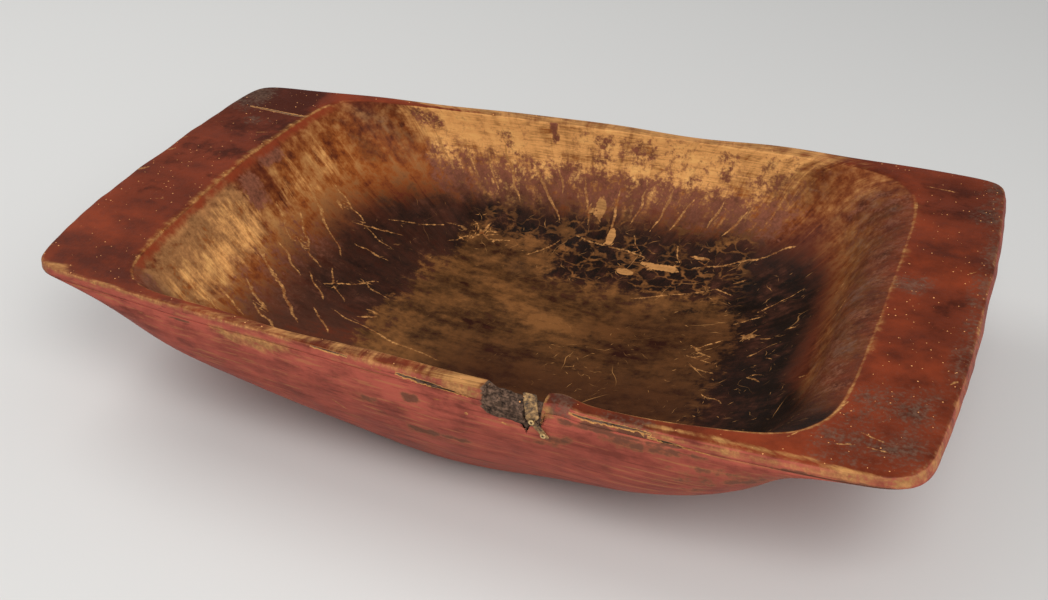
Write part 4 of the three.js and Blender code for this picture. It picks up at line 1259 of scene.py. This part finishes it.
def strip_stations():
    """Where the strip runs, as its solid does: points on the wood, normals, directions across and widths."""
    straight = np.array([1.0, 0, 0])
    leaning = np.array([math.cos(TAIL_LEAN), 0, math.sin(TAIL_LEAN)])
    up = np.array([0, 1, 1]) / math.sqrt(2)
    inner = np.array([STRIP_INSIDE_X, near_face(STRIP_INSIDE_X, 0, False), HEIGHT - NOTCH_DROP_INSIDE])
    outer = np.array([STRIP_OUTSIDE_X, near_face(STRIP_OUTSIDE_X, 0, True), HEIGHT - NOTCH_DROP_OUTSIDE])
    half_way = (STRIP_INSIDE_DROP + NOTCH_DROP_INSIDE) / 2
    drops = (STRIP_INSIDE_DROP, half_way, NOTCH_DROP_INSIDE + STRIP_THICKNESS)
    places = [(*on_near_wall(STRIP_INSIDE_X, drop, False), straight, STRIP_WIDTH) for drop in drops]
    places += [(inner, up, straight, STRIP_WIDTH), (outer, up * [1, -1, 1], straight, STRIP_WIDTH)]
    places += [(*under_tail(-STRIP_THICKNESS), straight, (STRIP_WIDTH + TAIL_WIDTH) / 2),
               (*under_tail(0), straight + leaning, TAIL_WIDTH),
               (*under_tail(TAIL_LENGTH / 2), leaning, TAIL_WIDTH),
               (*under_tail(TAIL_LENGTH), leaning, TAIL_END_WIDTH)]
    points, normals, across, widths = (np.array(part, float) for part in zip(*places))
    across -= normals * (across * normals).sum(1)[:, None]
    return points, normals, across / np.linalg.norm(across, axis=1)[:, None], widths


def through(values, spots):
    """Values between the given ones: a cubic that leaves each towards the one after its neighbour."""
    values = values.reshape(len(values), -1)
    padded = np.concatenate([2 * values[:1] - values[1:2], values, 2 * values[-1:] - values[-2:-1]])
    i = np.clip(spots.astype(int), 0, len(values) - 2)
    t = (spots - i)[:, None]
    a, b, c, d = (padded[i + k] for k in range(4))
    return b + 0.35 * t * (1 - t) * ((c - a) * (1 - t) - (d - b) * t) + (c - b) * (3 * t ** 2 - 2 * t ** 3)


def strip_surface(hide):
    """Strip as rows of a flat oval along its stations, with nibbled edges and a slightly raised middle."""
    points, normals, across, widths = strip_stations()
    spots = np.linspace(0, len(points) - 1, STRIP_ROWS)
    centres, normals, across = (through(part, spots) for part in (points, normals, across))
    widths = through(widths, spots)[:, 0]
    turn = np.linspace(0, 2 * np.pi, STRIP_COLUMNS, endpoint=False)
    chance = np.random.default_rng(NIBBLE_SEED)
    ends = np.sqrt(np.clip(1 - (2 * np.linspace(0, 1, STRIP_ROWS) - 1) ** END_SQUARENESS, END_LEFT, 1))
    u = np.sign(np.cos(turn)) * np.abs(np.cos(turn)) ** STRIP_FLATNESS
    v = np.sign(np.sin(turn)) * np.abs(np.sin(turn)) ** STRIP_ROUNDNESS
    knots = np.arange(0, STRIP_ROWS + NIBBLE_SPACING, NIBBLE_SPACING)
    left, right = (np.interp(np.arange(STRIP_ROWS), knots, chance.normal(size=len(knots))) for _ in range(2))
    edge = np.where(u[None] > 0, left[:, None], right[:, None]) * hide.nibbled / MM
    half = (widths[:, None] / 2 - EDGE_ROOM + edge * np.abs(u[None])) * ends[:, None]
    thinned = 1 - EDGE_THINNING + EDGE_THINNING * (1 - u[None] ** 2)
    thick = STRIP_THICKNESS / 2 * thinned * ends[:, None]
    curl = hide.curl / MM * u[None] ** 4 * np.sin(spots * CURL_WAVE)[:, None] ** 2
    lift = CLEARANCE + STRIP_THICKNESS / 2 + np.maximum(curl, 0)
    surface = (centres[:, None] + across[:, None] * (half * u[None])[..., None]
               + normals[:, None] * (thick * v[None] + lift)[..., None])
    surface[..., 1] += MIDDLE_SHIFT
    return surface


def capped(name, surface):
    """Mesh of closed rows of points, with a fan at each end. Rows run so that the faces point outwards."""
    rows, columns = surface.shape[:2]
    points = np.concatenate([surface.reshape(-1, 3), [surface[0].mean(0), surface[-1].mean(0)]])
    quads = rows_to_quads(rows, columns)
    spin = np.arange(columns)
    last = (rows - 1) * columns
    first_fan = np.stack([np.full(columns, rows * columns), (spin + 1) % columns, spin], -1)
    last_fan = np.stack([np.full(columns, rows * columns + 1), last + spin, last + (spin + 1) % columns], -1)
    faces = quads.tolist() + first_fan.tolist() + last_fan.tolist()
    volume = (points[quads[:, 0]] * np.cross(points[quads[:, 1]], points[quads[:, 2]])).sum()
    volume += (points[quads[:, 0]] * np.cross(points[quads[:, 2]], points[quads[:, 3]])).sum()
    return make_mesh(name, points, faces if volume > 0 else [face[::-1] for face in faces])


class TROUGH_OT_strip(bpy.types.Operator):
    """Lays the strip of hide over the broken rim"""
    bl_idname = "trough.strip"
    bl_label = "Lay the strip of hide"

    def execute(self, context):
        made = capped("hide_strip", strip_surface(context.scene.trough_hide))
        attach(made, "root")
        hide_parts("rim_thong")
        made.data.materials.append(raw_hide(context.scene.trough_hide))
        return {"FINISHED"}


def tack_surface(run):
    """Tack as a turned profile, with a pointed shank and a domed head with a dished middle.

    Gives the rows of points, and each point's distance from the tack's axis.
    """
    head, shank, tall = TACK_HEAD_RADIUS, TACK_SHANK_RADIUS, TACK_HEAD_HEIGHT
    profile = np.array([
        (0.05, -TACK_LENGTH), (shank, 2 * shank - TACK_LENGTH), (shank, -0.15), (shank + 0.15, 0),
        (head - 0.2, 0), (head - 0.05, 0.08), (head, 0.25), (head, 0.45 * tall),
        (head * 0.93, 0.78 * tall), (head * 0.8, 0.96 * tall), (head * 0.66, tall), (head * 0.5, 0.93 * tall),
        (head * 0.38, 0.7 * tall), (head * 0.24, 0.5 * tall), (head * 0.04, 0.42 * tall)])
    point, normal = under_tail(run)
    seat = point + normal * (STRIP_THICKNESS + 2 * CLEARANCE)
    side = np.cross(normal, [0, 0, 1])
    side /= np.linalg.norm(side)
    other = np.cross(normal, side)
    turn = np.linspace(0, 2 * np.pi, TACK_COLUMNS, endpoint=False)
    ring = np.cos(turn)[:, None] * side + np.sin(turn)[:, None] * other
    surface = seat + profile[:, :1, None] * ring[None] + profile[:, 1][:, None, None] * normal
    surface[..., 1] += MIDDLE_SHIFT
    return surface, np.concatenate([np.repeat(profile[:, 0], len(turn)), [0, 0]])


class TROUGH_OT_tacks(bpy.types.Operator):
    """Drives the two tacks through the strip's tail"""
    bl_idname = "trough.tacks"
    bl_label = "Drive the tacks"

    def execute(self, context):
        metal = dulled_brass(context.scene.trough_tacks)
        for name, run in (("thong_tack_upper", 0), ("thong_tack_lower", TACK_SPACING)):
            surface, from_axis = tack_surface(run)
            made = capped(name.replace("thong_", "") + "_turned", surface)
            add_field(made, "from_axis", from_axis)
            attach(made, "root")
            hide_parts(name)
            made.data.materials.append(metal)
        return {"FINISHED"}


def raw_hide(hide):
    """Dry rawhide, scraped and hardened: matt, mottled from straw to dark brown, and finely wrinkled."""
    material = new_material("dry_scraped_rawhide")
    tree = material.node_tree
    place = object_place(tree)
    blots = add(tree, "TexNoise", {"Vector": place, "Scale": 1 / 4, "Detail": 4.0, "Roughness": 0.7})
    wrinkles = add(tree, "TexNoise", {"Vector": place, "Scale": 1 / 1.2, "Detail": 3.0}).outputs[0]
    colour = add(tree, "ValToRGB", {"Fac": blots.outputs[0]}, [
        (0.36, shade(hide.dark_hide)), (0.5, shade(hide.hide)), (0.62, shade(hide.pale_hide))]).outputs[0]
    bump = add(tree, "Bump", {"Height": wrinkles, "Strength": 0.6, "Distance": 0.5 * MM}).outputs["Normal"]
    shader = add(tree, "BsdfPrincipled", {"Base Color": colour, "Roughness": 0.75, "Normal": bump})
    add(tree, "OutputMaterial", {"Surface": shader.outputs["BSDF"]})
    return material


def dulled_brass(tacks):
    """Old cast brass, dulled brown by handling: a soft warm gleam on the ring, and painted shade darkening
    the dish.
    """
    material = new_material("handled_old_brass")
    tree = material.node_tree
    stain = add(tree, "TexNoise", {"Vector": object_place(tree), "Scale": 1 / 1.5, "Detail": 3.0}).outputs[0]
    brass = add(tree, "ValToRGB", {"Fac": stain}, [
        (0.3, shade(tacks.dull)), (0.65, shade(tacks.gleam))]).outputs[0]
    from_axis = add(tree, "Attribute", attribute_name="from_axis").outputs["Fac"]
    dish = add(tree, "MapRange", {"Value": from_axis, "From Min": 1.3, "From Max": 0.7}).outputs["Result"]
    # Painted shade: the head's dish darkened
    colour = add(tree, "Mix", {0: dish, 6: brass, 7: shade(tacks.dish_shade)}, data_type="RGBA").outputs[2]
    shader = add(tree, "BsdfPrincipled", {"Base Color": colour, "Roughness": 0.45, "Metallic": 0.45})
    add(tree, "OutputMaterial", {"Surface": shader.outputs["BSDF"]})
    return material


def length_setting(name, description, default, least=0):
    """A length that the panel shows."""
    return bpy.props.FloatProperty(
        name=name, description=description, default=default, min=least, unit="LENGTH")


class TroughCarving(bpy.types.PropertyGroup):
    """How unevenly the wood is worked"""
    unevenness: length_setting("Unevenness", "Height of the broad waves left by the axe", 0.9 * MM)
    grain_relief: length_setting("Grain relief", "Height of the ridges along the grain", 0.18 * MM)
    tool_marks: length_setting("Tool marks", "Depth of the scoops in the hollow", 0.3 * MM)


def colour_setting(name, description, default):
    """A colour that the panel shows, from its sRGB hex value."""
    return bpy.props.FloatVectorProperty(
        name=name, description=description, default=linear(default)[:3], min=0, max=1, subtype="COLOR")


class TroughFinish(bpy.types.PropertyGroup):
    """Colours of the paint, the wear and the wood"""
    paint: colour_setting("Paint", "Oxide red paint on the lugs", "#702d16")
    side_paint: colour_setting("Side paint", "Paint on the outside, scrubbed lighter", "#96493b")
    hollow_paint: colour_setting("Hollow paint", "Paint in the hollow, browned by dough", "#622a16")
    orange_wear: colour_setting("Orange wear", "Paint rubbed thin over the wood", "#a45824")
    tan_wear: colour_setting("Tan wear", "Paint scrubbed to a pale film", "#b9814f")
    bare_wood: colour_setting("Bare wood", "Wood where the paint is gone", "#e8a561")
    grained_wood: colour_setting("Grained wood", "Purplish brown that has stayed in the grain", "#7a4834")
    # Its darkest tones also stand as painted shade in the near right corner of the hollow
    soil: colour_setting("Soil", "Dark film on the lower walls", "#190f0a")
    worn_floor: colour_setting("Worn floor", "Olive brown wood of the scraped floor", "#5e3b1d")
    weathered: colour_setting("Weathered wood", "Grey wood at cracks and corners", "#6c5343")
    side_soil: colour_setting("Side soil", "Brown smears on the outside", "#50342a")


class TroughHide(bpy.types.PropertyGroup):
    """Edges and colours of the strip of hide"""
    nibbled: length_setting("Nibbled", "How ragged the strip's edges are", 0.25 * MM)
    curl: length_setting("Curl", "How far the dry edges lift", 0.5 * MM)
    dark_hide: colour_setting("Dark hide", "Hide where it is soiled", "#33261a")
    hide: colour_setting("Hide", "Hide as it mostly is", "#7d5d38")
    pale_hide: colour_setting("Pale hide", "Hide where it is scraped", "#b58d59")


class TroughTacks(bpy.types.PropertyGroup):
    """Colours of the two tacks"""
    dull: colour_setting("Dull brass", "Brass browned by handling", "#a5834e")
    gleam: colour_setting("Rubbed brass", "Brass where it is rubbed", "#e2c188")
    # Painted shade for the head's dish
    dish_shade: colour_setting("Dirt", "Dirt in the head's dish", "#3a2917")


class TroughStudio(bpy.types.PropertyGroup):
    """Floor of the studio"""
    floor_size: length_setting("Floor size", "Width of the floor", 12.0, 1)
    floor_colour: colour_setting("Floor", "Pale floor", "#dcdbd8")


class TROUGH_OT_stage(bpy.types.Operator):
    """Lays the pale floor, hangs the soft lights and sets up the camera"""
    bl_idname = "trough.stage"
    bl_label = "Set the stage"

    def execute(self, context):
        lay_floor(context.scene.trough_studio)
        hang_lights(context.scene)
        place_camera(context.scene)
        context.scene.view_settings.view_transform = "Standard"
        return {"FINISHED"}


def lay_floor(studio):
    """Plain pale floor."""
    half = studio.floor_size / MM / 2
    corners = np.array([[-half, -half, 0], [half, -half, 0], [half, half, 0], [-half, half, 0]], float)
    made = make_mesh("floor", corners, [(0, 1, 2, 3)])
    material = new_material("pale_floor")
    tree = material.node_tree
    shader = add(tree, "BsdfPrincipled", {"Base Color": shade(studio.floor_colour), "Roughness": 0.7})
    add(tree, "OutputMaterial", {"Surface": shader.outputs["BSDF"]})
    made.data.materials.append(material)


# Light: colour and strength of the sky, and for each lamp its name, place and size in metres, and power in
# watts. The lamps point at a place over the trough's floor
SKY_COLOUR, SKY_STRENGTH = "#f2f3f5", 0.44
LAMPS = (("soft_light_front", (1.1, -1.7, 1.9), 1.6, 50), ("soft_light_left", (-1.5, 0.4, 1.8), 1.4, 18))
LAMPS_AIM = (0, 0, 0.08)


def hang_lights(scene):
    """Two broad soft lamps and an even sky."""
    scene.world = bpy.data.worlds.new("studio_air")
    scene.world.use_nodes = True
    tree = scene.world.node_tree
    tree.nodes.clear()
    glow = add(tree, "Background", {"Color": linear(SKY_COLOUR), "Strength": SKY_STRENGTH})
    add(tree, "OutputWorld", {"Surface": glow.outputs["Background"]})
    for name, place, size, power in LAMPS:
        lamp = bpy.data.lights.new(name, "AREA")
        lamp.size, lamp.energy = size, power
        made = bpy.data.objects.new(name, lamp)
        scene.collection.objects.link(made)
        made.location = place
        aim = np.array(LAMPS_AIM) - np.array(place)
        tilt, turn = math.atan2(math.hypot(aim[0], aim[1]), -aim[2]), math.atan2(-aim[0], aim[1])
        made.rotation_euler = (tilt, 0, turn)


def place_camera(scene):
    """Camera at the measured azimuth and elevation, at a distance from the point it looks at."""
    data = bpy.data.cameras.new("camera")
    data.sensor_width = 36
    data.lens = CAMERA_LENS
    made = bpy.data.objects.new("camera", data)
    scene.collection.objects.link(made)
    flat = math.cos(CAMERA_ELEVATION)
    back = (math.sin(CAMERA_AZIMUTH) * flat, -math.cos(CAMERA_AZIMUTH) * flat, math.sin(CAMERA_ELEVATION))
    made.location = [aim + CAMERA_DISTANCE * way for aim, way in zip(CAMERA_AIM, back)]
    made.rotation_euler = (math.pi / 2 - CAMERA_ELEVATION, 0, CAMERA_AZIMUTH)
    scene.camera = made


class TROUGH_PT_panel(bpy.types.Panel):
    """Lists the trough's sizes and steps"""
    bl_label = "Hewn trough"
    bl_space_type = "VIEW_3D"
    bl_region_type = "UI"
    bl_category = "Trough"

    def draw(self, context):
        for group in GROUPS:
            box = self.layout.box()
            settings = getattr(context.scene, group)
            for name in settings.bl_rna.properties.keys():
                if name not in ("rna_type", "name"):
                    box.prop(settings, name)
        for step in STEPS:
            self.layout.operator(step.bl_idname)


GROUPS = {"trough_carving": TroughCarving, "trough_finish": TroughFinish, "trough_hide": TroughHide,
          "trough_tacks": TroughTacks, "trough_studio": TroughStudio}
STEPS = (TROUGH_OT_body, TROUGH_OT_strip, TROUGH_OT_tacks, TROUGH_OT_stage)
CLASSES = (*GROUPS.values(), *STEPS, TROUGH_PT_panel)


def register():
    """Registers the classes and hangs the settings on the scene."""
    for kind in CLASSES:
        bpy.utils.register_class(kind)
    for name, kind in GROUPS.items():
        setattr(bpy.types.Scene, name, bpy.props.PointerProperty(type=kind))


def unregister():
    """Takes the settings and the classes away again."""
    for name in GROUPS:
        delattr(bpy.types.Scene, name)
    for kind in reversed(CLASSES):
        bpy.utils.unregister_class(kind)


def main():
    register()
    bpy.ops.trough.body()
    bpy.ops.trough.strip()
    bpy.ops.trough.tacks()
    bpy.ops.trough.stage()


if __name__ == "__main__":
    main()
